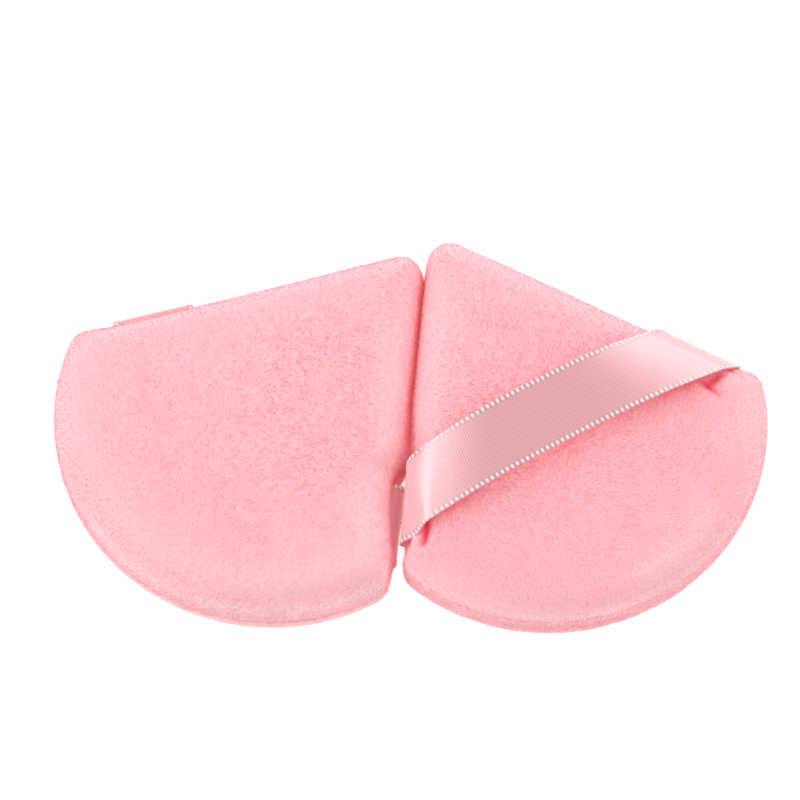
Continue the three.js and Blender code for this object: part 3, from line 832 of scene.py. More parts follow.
def swelling(puff):
    """Points inside both covers' skins, and how far the simulation moved each, both in
    millimetres."""
    inset = PILE_HEIGHT + SWELL
    front, rear = (skin_rows(puff, way, inset, COARSE_ROWS)[0] for way in WAY_WORDS)
    rows = [front[0][:1], *front[1:], *rear[:0:-1], rear[0][:1]]
    mesh = lofted(puff.name + "_filling", [row * SIM_SCALE for row in rows])
    face_outwards(mesh)
    filled = shown(puff.name + "_filling", mesh)
    remesh = filled.modifiers.new("remesh", "REMESH")
    remesh.mode = "VOXEL"
    remesh.voxel_size = SIM_VOXEL * SIM_SCALE * MM
    graph = bpy.context.evaluated_depsgraph_get()
    even = bpy.data.meshes.new_from_object(filled.evaluated_get(graph), depsgraph=graph)
    filled.modifiers.clear()
    filled.data = even
    start = points_of(even) / SIM_SCALE
    held = filled.vertex_groups.new(name="held")
    weights = 1 - eased((np.abs(start[:, 2] - SEAM_HEIGHT) - HELD_AT_SEAM) / HELD_NEAR_SEAM)
    for index, weight in enumerate(weights):
        held.add([index], float(weight), "REPLACE")
    cloth = filled.modifiers.new("cloth", "CLOTH")
    cloth.settings.vertex_group_mass = "held"
    cloth.settings.use_pressure = True
    cloth.settings.uniform_pressure_force = SIM_PRESSURE
    cloth.settings.effector_weights.gravity = 0
    for number in range(1, SIM_FRAMES + 1):
        scene.frame_set(number)
    graph = bpy.context.evaluated_depsgraph_get()
    swollen = bpy.data.meshes.new_from_object(filled.evaluated_get(graph), depsgraph=graph)
    out = np.array([vertex.normal for vertex in even.vertices])
    grown_by = np.sum((points_of(swollen) / SIM_SCALE - start) * out, axis=1)
    scene.frame_set(1)
    bpy.data.objects.remove(filled)
    print(f"{puff.name}: {len(start)} points swelled by {grown_by.mean():.2f} mm")
    reach = np.clip(SWELL_EVEN + grown_by * SWELL_MORE / grown_by.mean(), 0, SWELL_CAP)
    return start, out * reach[:, None]


def points_of(mesh):
    """A mesh's points in millimetres."""
    flat = np.zeros(len(mesh.vertices) * 3, np.float32)
    mesh.vertices.foreach_get("co", flat)
    return flat.reshape(-1, 3).astype(float) / MM


# %% [markdown]
# ## Puckers beside the ribbon
#
# Where the ribbon is sewn in, its pull gathers the velour into short deep creases with a soft
# lobe between them. They are sculpted by moving points along the skin's normal: a crease is a
# groove along a line, and a lobe is a mound round a point.

# %% Creases and lobes
CREASE_LEAST = 0.35
CREASE_ENDS = 0.15
CREASES = {
    "right": [
        # start, end, half width, depth
        ((24.9, -7.4, 14.2), (26.2, -11.2, 14.2), 0.6, 0.9),
        ((28.4, -8.2, 14), (25.9, -8.8, 14.2), 0.8, 1.1),
        ((30.9, -8.0, 13.4), (31.7, -11.4, 13.2), 0.5, 0.9),
        ((-28.4, -7.0, 14), (-30.4, -9.8, 13.6), 0.9, 1.7),
        ((-30.4, -9.8, 13.6), (-32.6, -10.4, 12.5), 0.7, 1.0),
        ((-31.0, -6.9, 12.5), (-33.8, -8.8, 11), 0.7, 1.2),
    ],
    "left": [],
}
LOBES = {
    # centre, radius, height
    "right": [((27.8, -10.8, 14), 1.3, 0.4), ((-31.0, -8.2, 13), 1.2, 0.6)],
    "left": [((-32.6, -5.6, 7.4), 1.5, 0.7)],
}


def creased(puff, points):
    """How far each point moves along its normal, in millimetres."""
    moves = np.zeros(len(points))
    for start, end, width, depth in CREASES[puff.name]:
        start, end = np.array(start), np.array(end)
        line = end - start
        share = np.clip((points - start) @ line / (line @ line), 0, 1)
        away = np.linalg.norm(points - (start + share[:, None] * line), axis=1)
        rise = np.sin(np.pi * (CREASE_ENDS + (1 - 2 * CREASE_ENDS) * share))
        fade = CREASE_LEAST + (1 - CREASE_LEAST) * rise
        moves -= depth * fade * np.exp(-((away / width) ** 2))
    for centre, radius, height in LOBES[puff.name]:
        away = np.linalg.norm(points - np.array(centre), axis=1)
        moves += height * np.exp(-((away / radius) ** 2))
    return moves


def shaped(puff, places, normals, inset):
    """A skin's rings after the filling and the puckers have moved them, flat where it rests."""
    points, out = places.reshape(-1, 3), normals.reshape(-1, 3)
    moved = np.empty_like(points)
    for index, point in enumerate(points):
        near = puff.tree.find_n(point, NEIGHBOURS)
        weights = np.array([1 / (NEIGHBOUR_SOFTNESS + distance) ** 2 for _, _, distance in near])
        moves = puff.moves[[found for _, found, _ in near]]
        moved[index] = point + weights @ moves / weights.sum()
    moved += out * creased(puff, points + out * (inset + SWELL))[:, None]
    if puff.way > 0:
        moved[:, 2] = np.maximum(moved[:, 2], inset)
    else:
        moved[:, 2] = np.minimum(moved[:, 2], RIM_THICKNESS - inset)
    return moved.reshape(places.shape)


for puff in (LEFT, RIGHT):
    start, moves = swelling(puff)
    puff.moves = moves
    puff.tree = KDTree(len(start))
    for index, point in enumerate(start):
        puff.tree.insert(point, index)
    puff.tree.balance()

# %% [markdown]
# ## The nap
#
# Velour's pile all leans one way, but fingers brush it about, so its heading drifts over the
# face. Sums of a few slow waves make such a drift, the same each run. Each point of the skin
# stores the way its pile leans. The pile material also wants to know how near the puff's edge a
# tuft is, because a painted sheen makes the edge paler, standing in for the light that the
# fibres' tips catch there. Where the pile leans back over the face instead, less of this painted
# sheen is laid on and the edge stays pink.

# %% Nap fields
NAP_HEADING = {"left": -100 * DEGREE, "right": 60 * DEGREE}
NAP_DRIFT = 60 * DEGREE
NAP_DRIFT_SIZE = 30
NAP_LEAN = 66 * DEGREE
NAP_LEAN_AT_EDGE = 38 * DEGREE
NAP_LEAN_DRIFT = 5 * DEGREE
# painted sheen: how pale each puff's sides are made, how far it reaches in from the rim, and how
# much less of it where the nap leans back
SHEEN_ON_STEEP = {"left": 0.97, "right": 0.75}
SHEEN_NEAR_EDGE = 0.3
SHEEN_NEAR_EDGE_REACH = 4
NAP_SHEEN_FADE = 1
WAVE_LENGTHS = (0.6, 1.6)
NAP_SEED = 3
NAP_SEED_STEP = 10


def drift(points, size, seed, waves=5):
    """Slow waves over a surface, from about -1 to 1."""
    draw = np.random.default_rng(seed)
    total = np.zeros(points.shape[:-1])
    for _ in range(waves):
        way = draw.normal(size=3)
        way /= np.linalg.norm(way)
        length = size * draw.uniform(*WAVE_LENGTHS)
        total += np.sin(points @ way * 2 * math.pi / length + draw.uniform(0, 2 * math.pi))
    return total / math.sqrt(waves)


def nap(puff, places, normals, seed):
    """The way that the pile leans at each point, in the puff's own frame."""
    heading = NAP_HEADING[puff.name] + NAP_DRIFT * drift(places, NAP_DRIFT_SIZE, seed)
    flat = np.stack([np.cos(heading), np.sin(heading), np.zeros_like(heading)], axis=-1)
    along = unit(flat - normals * np.sum(flat * normals, axis=-1, keepdims=True))
    upright = np.abs(normals[..., 2])
    lean = NAP_LEAN_AT_EDGE + (NAP_LEAN - NAP_LEAN_AT_EDGE) * upright
    lean = lean + NAP_LEAN_DRIFT * drift(places, NAP_DRIFT_SIZE / 3, seed + 1)
    return normals * np.cos(lean)[..., None] + along * np.sin(lean)[..., None]


def painted_sheen_share(puff, normals, shares):
    """How much painted sheen a place gets: 0 over most of a face, rising towards its edge and to 1
    on the side.
    """
    steep = SHEEN_ON_STEEP[puff.name] * eased(1 - np.abs(normals[..., 2]))
    near = SHEEN_NEAR_EDGE * np.exp((shares - 1) * APEX_FROM_CENTRE / SHEEN_NEAR_EDGE_REACH)
    return np.maximum(steep, near[:, None])


# %% Cover meshes
def turned_way(puff, directions):
    """Directions of the puff's own frame, turned as it lies."""
    return puff.laid(directions) - puff.origin


def ring_normals(rows):
    """Outward normals of a skin of rings, worked out from its neighbours."""
    along = np.roll(rows, -1, axis=1) - np.roll(rows, 1, axis=1)
    across = np.gradient(rows, axis=0)
    return unit(np.cross(along, across))


def on_outer_skin(mesh, label, values, elsewhere):
    """Stores the outer skin's values on a cover and one value on the rest of it. The first row of a
    skin is a single point, its middle."""
    skin = np.concatenate([values[0, :1], values[1:].reshape(-1, *values.shape[2:])])
    full = np.full((len(mesh.vertices), *values.shape[2:]), elsewhere, float)
    full[: len(skin)] = skin
    written(mesh, label, full)


def cover(puff, way, seed):
    """One cover as a closed shell of cloth, with its nap stored on it."""
    name = f"{puff.name}_{WAY_WORDS[way]}_cover_cloth"
    inset = PILE_HEIGHT + SWELL
    places, normals = skin_rows(puff, way, inset)
    outer = shaped(puff, places, normals, PILE_HEIGHT)
    true = ring_normals(outer[1:])
    true *= np.sign(np.sum(true * normals[1:], axis=-1, keepdims=True))
    true = np.concatenate([normals[:1], true])
    inside, inner_normals = skin_rows(puff, way, inset + CLOTH, INNER_ROWS)
    inner = shaped(puff, inside, inner_normals, PILE_HEIGHT + CLOTH)
    lip = SEAM_HEIGHT + way * CLEARANCE / 2
    allowance = SEAM_DRAW + SEAM_ALLOWANCE
    turned_in = [
        puff.ring(inset + LIP_DEPTH, lip),
        puff.ring(allowance, lip),
        puff.ring(allowance, lip + way * CLOTH),
    ]
    last = inner[-1].copy()
    last[:, 2] = lip + way * CLOTH
    rows = [outer[0][:1], *outer[1:], *turned_in, last, *inner[-3:0:-1], inner[0][:1]]
    mesh = lofted(name, [puff.laid(row) for row in rows])
    volume = face_outwards(mesh)
    leans = nap(puff, outer, true, seed)
    over_edge = np.sum(leans[..., :2] * outline(0)[1], axis=-1)
    shares = np.array([row[0] for row in section(way, inset)])
    # painted sheen towards the edge, with less of it where the nap leans back over the face
    edge = painted_sheen_share(puff, true, shares)
    edge = edge * np.clip(1 + NAP_SHEEN_FADE * np.minimum(over_edge, 0), 0, 1)
    surface = places + normals * inset
    # painted shade: the depth of a crease, which turns the velour deep red there
    tuck = np.clip(-creased(puff, surface.reshape(-1, 3)), 0, 1).reshape(edge.shape)
    on_outer_skin(mesh, "nap", turned_way(puff, leans), (0, 0, 1))
    for label, values in {"edge": edge, "tuck": tuck, "pile": np.ones_like(edge)}.items():
        on_outer_skin(mesh, label, values, 0)
    piece = shown(name, mesh)
    print(f"{name}: {len(mesh.polygons)} faces, {volume / 1000:.1f} cm3 of cloth")
    return piece


covers = {
    (puff.name, way): cover(puff, way, NAP_SEED_STEP * index + way + NAP_SEED)
    for index, puff in enumerate((LEFT, RIGHT))
    for way in WAY_WORDS
}

# %% [markdown]
# ## Ribbons
#
# The satin is one flat woven strip. Here it is built in two halves that meet at the arch's top.
# Its two long edges end in picots, a row of small thread loops.

# %% Ribbon strips
SATIN_THICKNESS = 0.25
PICOT_REACH = 1
PICOT_OVERHANG = 0.12
ALONG_STEP = 0.35
ACROSS_STEPS = 24
SHARP_EDGE = 40 * DEGREE
WOVEN_WIDTH = RIBBON_WIDTH - 2 * PICOT_OVERHANG


def ribbon_surface(puff, side, grid_s, grid_a):
    """Points of a half ribbon, with the ways along it and across it and its normal away from the
    puff."""
    probe = 0.05
    middle = puff.ribbon_point(side, grid_s, grid_a)
    ahead = puff.ribbon_point(side, grid_s + probe, grid_a)
    behind = puff.ribbon_point(side, np.maximum(grid_s - probe, 0), grid_a)
    above = puff.ribbon_point(side, grid_s, grid_a + probe)
    below = puff.ribbon_point(side, grid_s, grid_a - probe)
    along, over = unit(ahead - behind), unit(above - below)
    normal = unit(np.cross(along, over) * side)
    return middle, along, over, normal


def round_strip(values, first, last):
    """Values of a strip's grid, over its upper and its lower side, between those of its poles."""
    loops = np.concatenate([values, values[:, ::-1]], axis=1).ravel()
    return np.concatenate([[first], loops, [last]])


def strip(puff, side):
    """A half ribbon as a closed thin strip, with its own lengths stored for the weave, and how far
    each place is bent down from the flat, which places a painted highlight."""
    name = f"{puff.name}_{SIDE_WORDS[side]}_ribbon"
    end = puff.ends[side]
    length = end.station(end.tail_end)
    across = np.linspace(-WOVEN_WIDTH / 2, WOVEN_WIDTH / 2, ACROSS_STEPS + 1)
    shares = np.linspace(0, 1, round(length / ALONG_STEP) + 1)
    grid_s = shares[:, None] * end.station(end.tail_end, across)
    grid_a = np.broadcast_to(across, grid_s.shape)
    middle, _, _, normal = ribbon_surface(puff, side, grid_s, grid_a)
    upper = puff.laid(middle + normal * SATIN_THICKNESS / 2)
    lower = puff.laid(middle - normal * SATIN_THICKNESS / 2)
    loops = np.concatenate([upper, lower[:, ::-1]], axis=1)
    caps = [(upper[i] + lower[i]) / 2 for i in (0, -1)]
    mesh = lofted(name, [caps[0].mean(axis=0)[None], *loops, caps[1].mean(axis=0)[None]])
    face_outwards(mesh)
    # how far the satin bends down, for its painted highlight
    bend = round_strip(eased(1 - np.abs(normal[..., 2])), 0, 1)
    written(mesh, "bend", bend)
    lengths = np.column_stack([round_strip(grid_s, 0, length) * side, round_strip(grid_a, 0, 0)])
    corners = np.zeros(len(mesh.loops), np.int32)
    mesh.loops.foreach_get("vertex_index", corners)
    weave = mesh.uv_layers.new(name="weave")
    weave.data.foreach_set("uv", lengths[corners].astype(np.float32).ravel())
    piece = shown(name, mesh)
    mesh.set_sharp_from_angle(angle=SHARP_EDGE)
    print(f"{name}: {length:.1f} mm long, {len(mesh.polygons)} faces")
    return piece, length


def blend_points(puff, side):
    """Two points of a half ribbon in metres: where it starts to turn over the edge, and its middle.
    """
    end = puff.ends[side]
    points = puff.ribbon_point(side, np.array([end.station(0), 0.0]), np.zeros(2))
    return [metres(*point) for point in puff.laid(points)]


# %% [markdown]
# ## Picots
#
# A picot is the loop that the weft makes past the last warp thread. Geometry Nodes lay them: the
# rail is a row of points along the ribbon's edge, each knowing which way the ribbon runs and
# which way is out, and the tree sets one small loop on each.

# %% Picot tree
PICOT_PITCH = 0.96
PICOT_THREAD = 0.16
PICOT_LEAN = 0.25
PICOT_WIDTH = 0.56
PICOT_LIFT = 0.08
PICOT_TUCK = 1.5
LOOP_STEPS = 10
THREAD_STEPS = 5


def picot_tree():
    """One closed thread loop on each point of the rail."""
    tree, given = geometry_tree(
        "picot_loops",
        {"Reach": "Float", "Width": "Float", "Thread": "Float", "Material": "Material"},
    )
    inputs = {"Resolution": LOOP_STEPS, "Radius": 1.0}
    ring = put(tree, "GeometryNodeCurvePrimitiveCircle", inputs)
    inputs = {"Resolution": THREAD_STEPS, "Radius": given["Thread"]}
    thread = put(tree, "GeometryNodeCurvePrimitiveCircle", inputs)
    size = put(tree, "ShaderNodeCombineXYZ", {"X": given["Width"], "Y": given["Reach"], "Z": 1.0})
    inputs = {"Geometry": ring.outputs[0], "Scale": size.outputs[0]}
    oval = put(tree, "GeometryNodeTransform", inputs)
    inputs = {"Curve": oval.outputs[0], "Profile Curve": thread.outputs[0]}
    loop = put(tree, "GeometryNodeCurveToMesh", inputs)
    smooth = put(tree, "GeometryNodeSetShadeSmooth", {0: loop.outputs[0]}).outputs[0]
    turned = put(
        tree,
        "FunctionNodeAxesToRotation",
        {0: named(tree, "out", "FLOAT_VECTOR"), 1: named(tree, "along", "FLOAT_VECTOR")},
        primary_axis="Y",
        secondary_axis="X",
    )
    inputs = {"Points": given["Geometry"], "Instance": smooth, "Rotation": turned.outputs[0]}
    placed = put(tree, "GeometryNodeInstanceOnPoints", inputs)
    finished_tree(tree, placed.outputs[0], given["Material"])
    return tree


def rail(name, points, **directions):
    """A mesh of loose points in metres, each storing its directions."""
    mesh = bpy.data.meshes.new(name)
    mesh.from_pydata((points * MM).tolist(), [], [])
    for label, values in directions.items():
        written(mesh, label, values)
    return mesh


PICOTS = picot_tree()


def picots(puff, side, satin_thread):
    """The loops on both edges of a half ribbon."""
    name = f"{puff.name}_{SIDE_WORDS[side]}_ribbon_picots"
    end = puff.ends[side]
    places, ways, outs = [], [], []
    for edge in (-1, 1):
        reach = edge * (RIBBON_WIDTH - PICOT_REACH) / 2
        length = end.station(end.fold_end, reach) + PICOT_TUCK
        stations = np.arange(PICOT_PITCH / 2, length, PICOT_PITCH)[:, None]
        reaches = np.full_like(stations, reach)
        middle, along, over, normal = ribbon_surface(puff, side, stations, reaches)
        places.append(puff.laid((middle + normal * PICOT_LIFT)[:, 0]))
        ways.append(turned_way(puff, along[:, 0] + PICOT_LEAN * over[:, 0]))
        outs.append(turned_way(puff, over[:, 0] * edge))
    places, ways, outs = (np.concatenate(rows) for rows in (places, ways, outs))
    base = rail(name, places, along=ways, out=outs)
    values = {
        "Reach": (PICOT_REACH / 2 - PICOT_THREAD) * MM,
        "Width": (PICOT_WIDTH / 2 - PICOT_THREAD) * MM,
        "Thread": PICOT_THREAD * MM,
        "Material": satin_thread,
    }
    mesh = grown(name, base, PICOTS, values)
    print(f"{name}: {len(base.vertices)} loops")
    return shown(name, mesh)


# %% [markdown]
# ## Finishes
#
# One group works out the velour's colour for the cloth and for the pile: deep at the root,
# lighter at the tip, a little different from tuft to tuft, and pale at the puff's edge. The deep
# root is a painted shade for the light lost down in the pile, and the pale edge is a painted
# sheen. Light that gets into a crease or between the puffs only comes off pink cloth, so those
# places are painted deep red as shade: a stored value marks the creases, and ambient occlusion
# finds what is shut in. Another group draws the satin's weave from its own lengths: fine ribs
# square to the ribbon with a twill running across them. A painted highlight makes the satin pale
# where it bends down, and a stored value says how far it does.

# %% Velour colour group
VELOUR_DEEP = (1.0, 0.47, 0.525, 1)
VELOUR_PINK = (1.0, 0.59, 0.64, 1)
# the pale pink of the painted edge sheen
VELOUR_PAINTED_SHEEN = (1.0, 0.82, 0.845, 1)
# painted shade: the deep red laid in shut-in places and in the creases
VELOUR_CREVICE_SHADE = (0.76, 0.03, 0.075, 1)
VELOUR_CREASE_SHADE = (1.0, 0.12, 0.22, 1)
CREASE_SHADE_TINT = 0.9
CLOUD_SCALE = 160.0
CLOUD_DETAIL = 3.0
CLOUD_SHARE = 0.5
TONE_LEAST = 0.72
TONE_MORE = 0.5
EDGE_SHEEN_TINT = 0.95
CREVICE_REACH = 6
CREVICE_LOOKS_UP = 1.5
CREVICE_EDGES = (0.2, 0.4)
CREVICE_HEIGHTS = (2.5, 6)
# the cloth between the spikes reads part way up the tip's scale, so it is a deeper pink: a painted
# shade for being seen down in the pile
CLOTH_TIP = 0.7
CLOTH_TUFT = 0.5
KNIT_SCALE = 2600.0


def velour_group():
    """Colour of a place in the pile."""
    tree, given = shader_group(
        "velour_colour",
        {"Tip": "Float", "Tuft": "Float", "Edge": "Float", "Place": "Vector"},
        {"Colour": "Color"},
    )
    inputs = {"Vector": given["Place"], "Scale": CLOUD_SCALE, "Detail": CLOUD_DETAIL}
    cloud = put(tree, "ShaderNodeTexNoise", inputs).outputs["Fac"]
    tuft = sums(tree, "MULTIPLY", given["Tuft"], 1 - CLOUD_SHARE)
    tone = sums(tree, "MULTIPLY_ADD", cloud, CLOUD_SHARE, tuft)
    lit = sums(tree, "MULTIPLY_ADD", tone, TONE_MORE, TONE_LEAST)
    # lower on a spike is deeper pink: a painted shade for light lost down in the pile
    lit = sums(tree, "MULTIPLY", given["Tip"], lit)
    pile = blended(tree, sums(tree, "MINIMUM", lit, 1.0), VELOUR_DEEP, VELOUR_PINK)
    # painted sheen: the edge is blended towards pale
    pale = sums(tree, "MULTIPLY", given["Edge"], EDGE_SHEEN_TINT)
    put(tree, "NodeGroupOutput", {"Colour": blended(tree, pale, pile, VELOUR_PAINTED_SHEEN)})
    return tree


VELOUR_COLOUR = velour_group()


def crevice_shade_share(tree, place):
    """How much painted shade a place gets: 1 deep in a crevice, where light only comes off the pink
    all round, and 0 in the open. It looks up more than along the surface and fades out low down,
    so that the white table doesn't count as a crevice's wall."""
    facing = put(tree, "ShaderNodeNewGeometry").outputs["Normal"]
    upward = vectors(tree, "NORMALIZE", vectors(tree, "ADD", facing, (0, 0, CREVICE_LOOKS_UP)))
    inputs = {"Distance": CREVICE_REACH * MM, "Normal": upward}
    seen = put(tree, "ShaderNodeAmbientOcclusion", inputs, samples=4).outputs["AO"]
    height = put(tree, "ShaderNodeSeparateXYZ", {0: place}).outputs["Z"]
    fade = mapped(tree, height, [level * MM for level in CREVICE_HEIGHTS])
    return sums(tree, "MULTIPLY", mapped(tree, seen, CREVICE_EDGES, (1.0, 0.0)), fade)


def velour_material(name, pile):
    """Velour's cloth, or its pile."""
    made, tree, shader = material(name)
    place = own_place(tree)
    inputs = {
        "Tip": stored(tree, "tip") if pile else CLOTH_TIP,
        "Tuft": stored(tree, "tuft") if pile else CLOTH_TUFT,
        "Edge": stored(tree, "edge"),
        "Place": place,
    }
    colour = use_group(tree, VELOUR_COLOUR, inputs)["Colour"]
    # painted shade: deep red in the creases and in shut-in places
    tuck = sums(tree, "MULTIPLY", stored(tree, "tuck"), CREASE_SHADE_TINT)
    colour = blended(tree, tuck, colour, VELOUR_CREASE_SHADE)
    colour = blended(tree, crevice_shade_share(tree, place), colour, VELOUR_CREVICE_SHADE)
    finish = {
        "Base Color": colour,
        "Roughness": 0.9,
        "Specular IOR Level": 0.15,
        "Sheen Weight": 0.3,
        "Sheen Roughness": 0.5,
        "Sheen Tint": (1, 0.86, 0.88, 1),
    }
    feed(tree, shader, finish)
    if not pile:
        knit = put(tree, "ShaderNodeTexVoronoi", {"Vector": place, "Scale": KNIT_SCALE})
        feed(tree, shader, {"Normal": raised(tree, knit.outputs["Distance"], 0.4, 0.2)})
    return made


VELOUR_CLOTH = velour_material("velour_cloth", False)
VELOUR_PILE = velour_material("velour_pile", True)
for piece in covers.values():
    piece.data.materials.append(VELOUR_CLOTH)

# %% Satin
SATIN_RIB_PITCH = 0.42
SATIN_TWILL_PITCH = 0.5
RIB_LEAN = 0.13
TWILL_SLANT = 0.8
TWILL_HEIGHT = 0.4
TWILL_TINT = 0.15
SATIN_DEEP = (0.66, 0.25, 0.28, 1)
SATIN_PINK = (0.90, 0.42, 0.46, 1)
SATIN_PALE = (1.0, 0.68, 0.70, 1)
SELVEDGE = (0.62, 0.33, 0.36, 1)
# the pale colour of the painted highlight along the satin's bends
SATIN_PAINTED_HIGHLIGHT = (1.0, 0.80, 0.82, 1)
BEND_HIGHLIGHT_TINT = 0.8
FIBRE_SCALE = 4000.0


def weave_group():
    """Ribs square to the ribbon, and a twill across them, from lengths in millimetres."""
    tree, given = shader_group(
        "satin_weave",
        {"Lengths": "Vector", "Rib pitch": "Float", "Twill pitch": "Float", "Band": "Float"},
        {"Ribs": "Float", "Twill": "Float", "Selvedge": "Float", "Height": "Float"},
    )
    apart = put(tree, "ShaderNodeSeparateXYZ", {0: given["Lengths"]}).outputs
    leaning = sums(tree, "MULTIPLY_ADD", apart["Y"], -RIB_LEAN, apart["X"])
    ribs = wave(tree, leaning, given["Rib pitch"])
    slant = sums(tree, "MULTIPLY_ADD", apart["X"], TWILL_SLANT, apart["Y"])
    twill = wave(tree, slant, given["Twill pitch"])
    height = sums(tree, "MULTIPLY", ribs, 1 - TWILL_HEIGHT)
    height = sums(tree, "MULTIPLY_ADD", twill, TWILL_HEIGHT, height)
    from_middle = sums(tree, "ABSOLUTE", apart["Y"])
    selvedge = sums(tree, "GREATER_THAN", from_middle, given["Band"])
    results = {"Ribs": ribs, "Twill": twill, "Selvedge": selvedge, "Height": height}
    put(tree, "NodeGroupOutput", results)
    return tree


SATIN_WEAVE = weave_group()


def satin_material():
    """Woven satin: glossy, with a painted highlight along its bends."""
    made, tree, shader = material("satin")
    inputs = {
        "Lengths": put(tree, "ShaderNodeUVMap", uv_map="weave").outputs[0],
        "Rib pitch": SATIN_RIB_PITCH,
        "Twill pitch": SATIN_TWILL_PITCH,
        "Band": RIBBON_WIDTH / 2 - PICOT_REACH,
    }
    weave = use_group(tree, SATIN_WEAVE, inputs)
    base = blended(tree, weave["Ribs"], SATIN_DEEP, SATIN_PINK)
    base = blended(tree, sums(tree, "MULTIPLY", weave["Twill"], TWILL_TINT), base, SATIN_PALE)
    # painted highlight: pale where the satin bends down
    base = blended(tree, sums(tree, "MULTIPLY", stored(tree, "bend"), BEND_HIGHLIGHT_TINT), base, SATIN_PAINTED_HIGHLIGHT)
    finish = {
        "Base Color": blended(tree, weave["Selvedge"], base, SELVEDGE),
        "Roughness": 0.34,
        "Metallic": 0.1,
        "IOR": 2.1,
        "Sheen Weight": 0.5,
        "Sheen Roughness": 0.35,
        "Sheen Tint": (1, 0.93, 0.94, 1),
        "Normal": raised(tree, weave["Height"], 0.5, 0.04),
    }
    feed(tree, shader, finish)
    return made


def thread_material(name, colour, pale):
    """Twisted thread."""
    made, tree, shader = material(name)
    inputs = {"Vector": own_place(tree), "Scale": FIBRE_SCALE, "Detail": 2.0}
    fibres = put(tree, "ShaderNodeTexNoise", inputs).outputs["Fac"]
    finish = {
        "Base Color": blended(tree, fibres, colour, pale),
        "Roughness": 0.5,
        "Sheen Weight": 0.4,
        "Normal": raised(tree, fibres, 0.3, 0.05),
    }
    feed(tree, shader, finish)
    return made


SATIN = satin_material()
PICOT_FINISH = thread_material("picot_thread", (0.80, 0.62, 0.64, 1), (0.97, 0.87, 0.87, 1))
SEWING_FINISH = thread_material("sewing_thread", (0.80, 0.42, 0.48, 1), (0.95, 0.60, 0.66, 1))

ribbons = {}
for puff in (LEFT, RIGHT):
    for side in SIDE_WORDS:
        ribbon, length = strip(puff, side)
        ribbon.data.materials.append(SATIN)
        ribbons[puff.name, side] = (ribbon, picots(puff, side, PICOT_FINISH), length)

# %% [markdown]
# ## The pile
#
# Velour is millions of short fibres. Brushed together they show as tufts, and a tuft can be one
# thin spike. Geometry Nodes scatter the spikes over a cover's outer skin, lean each the way the
# nap says with a little disorder, and cut short each one that would run into the ribbon. A spike
# of three thin faces is enough, since there are tens of thousands of them.

# %% Pile tree
PILE_DENSITY = 11e6
PILE_LENGTH = 0.6
PILE_WIDTH = 0.11
PILE_MESS = 0.2
SPIKE_LENGTHS = (0.6, 1.15)
PILE_SHORTEST = 0.4
STOPS_SHORT = 0.85
NO_PILE = 0.02
FULL_TURN = 6.283
PILE_SEED = 40
MESS_SEED, LENGTH_SEED, TUFT_SEED, SPIN_SEED = 11, 12, 13, 14


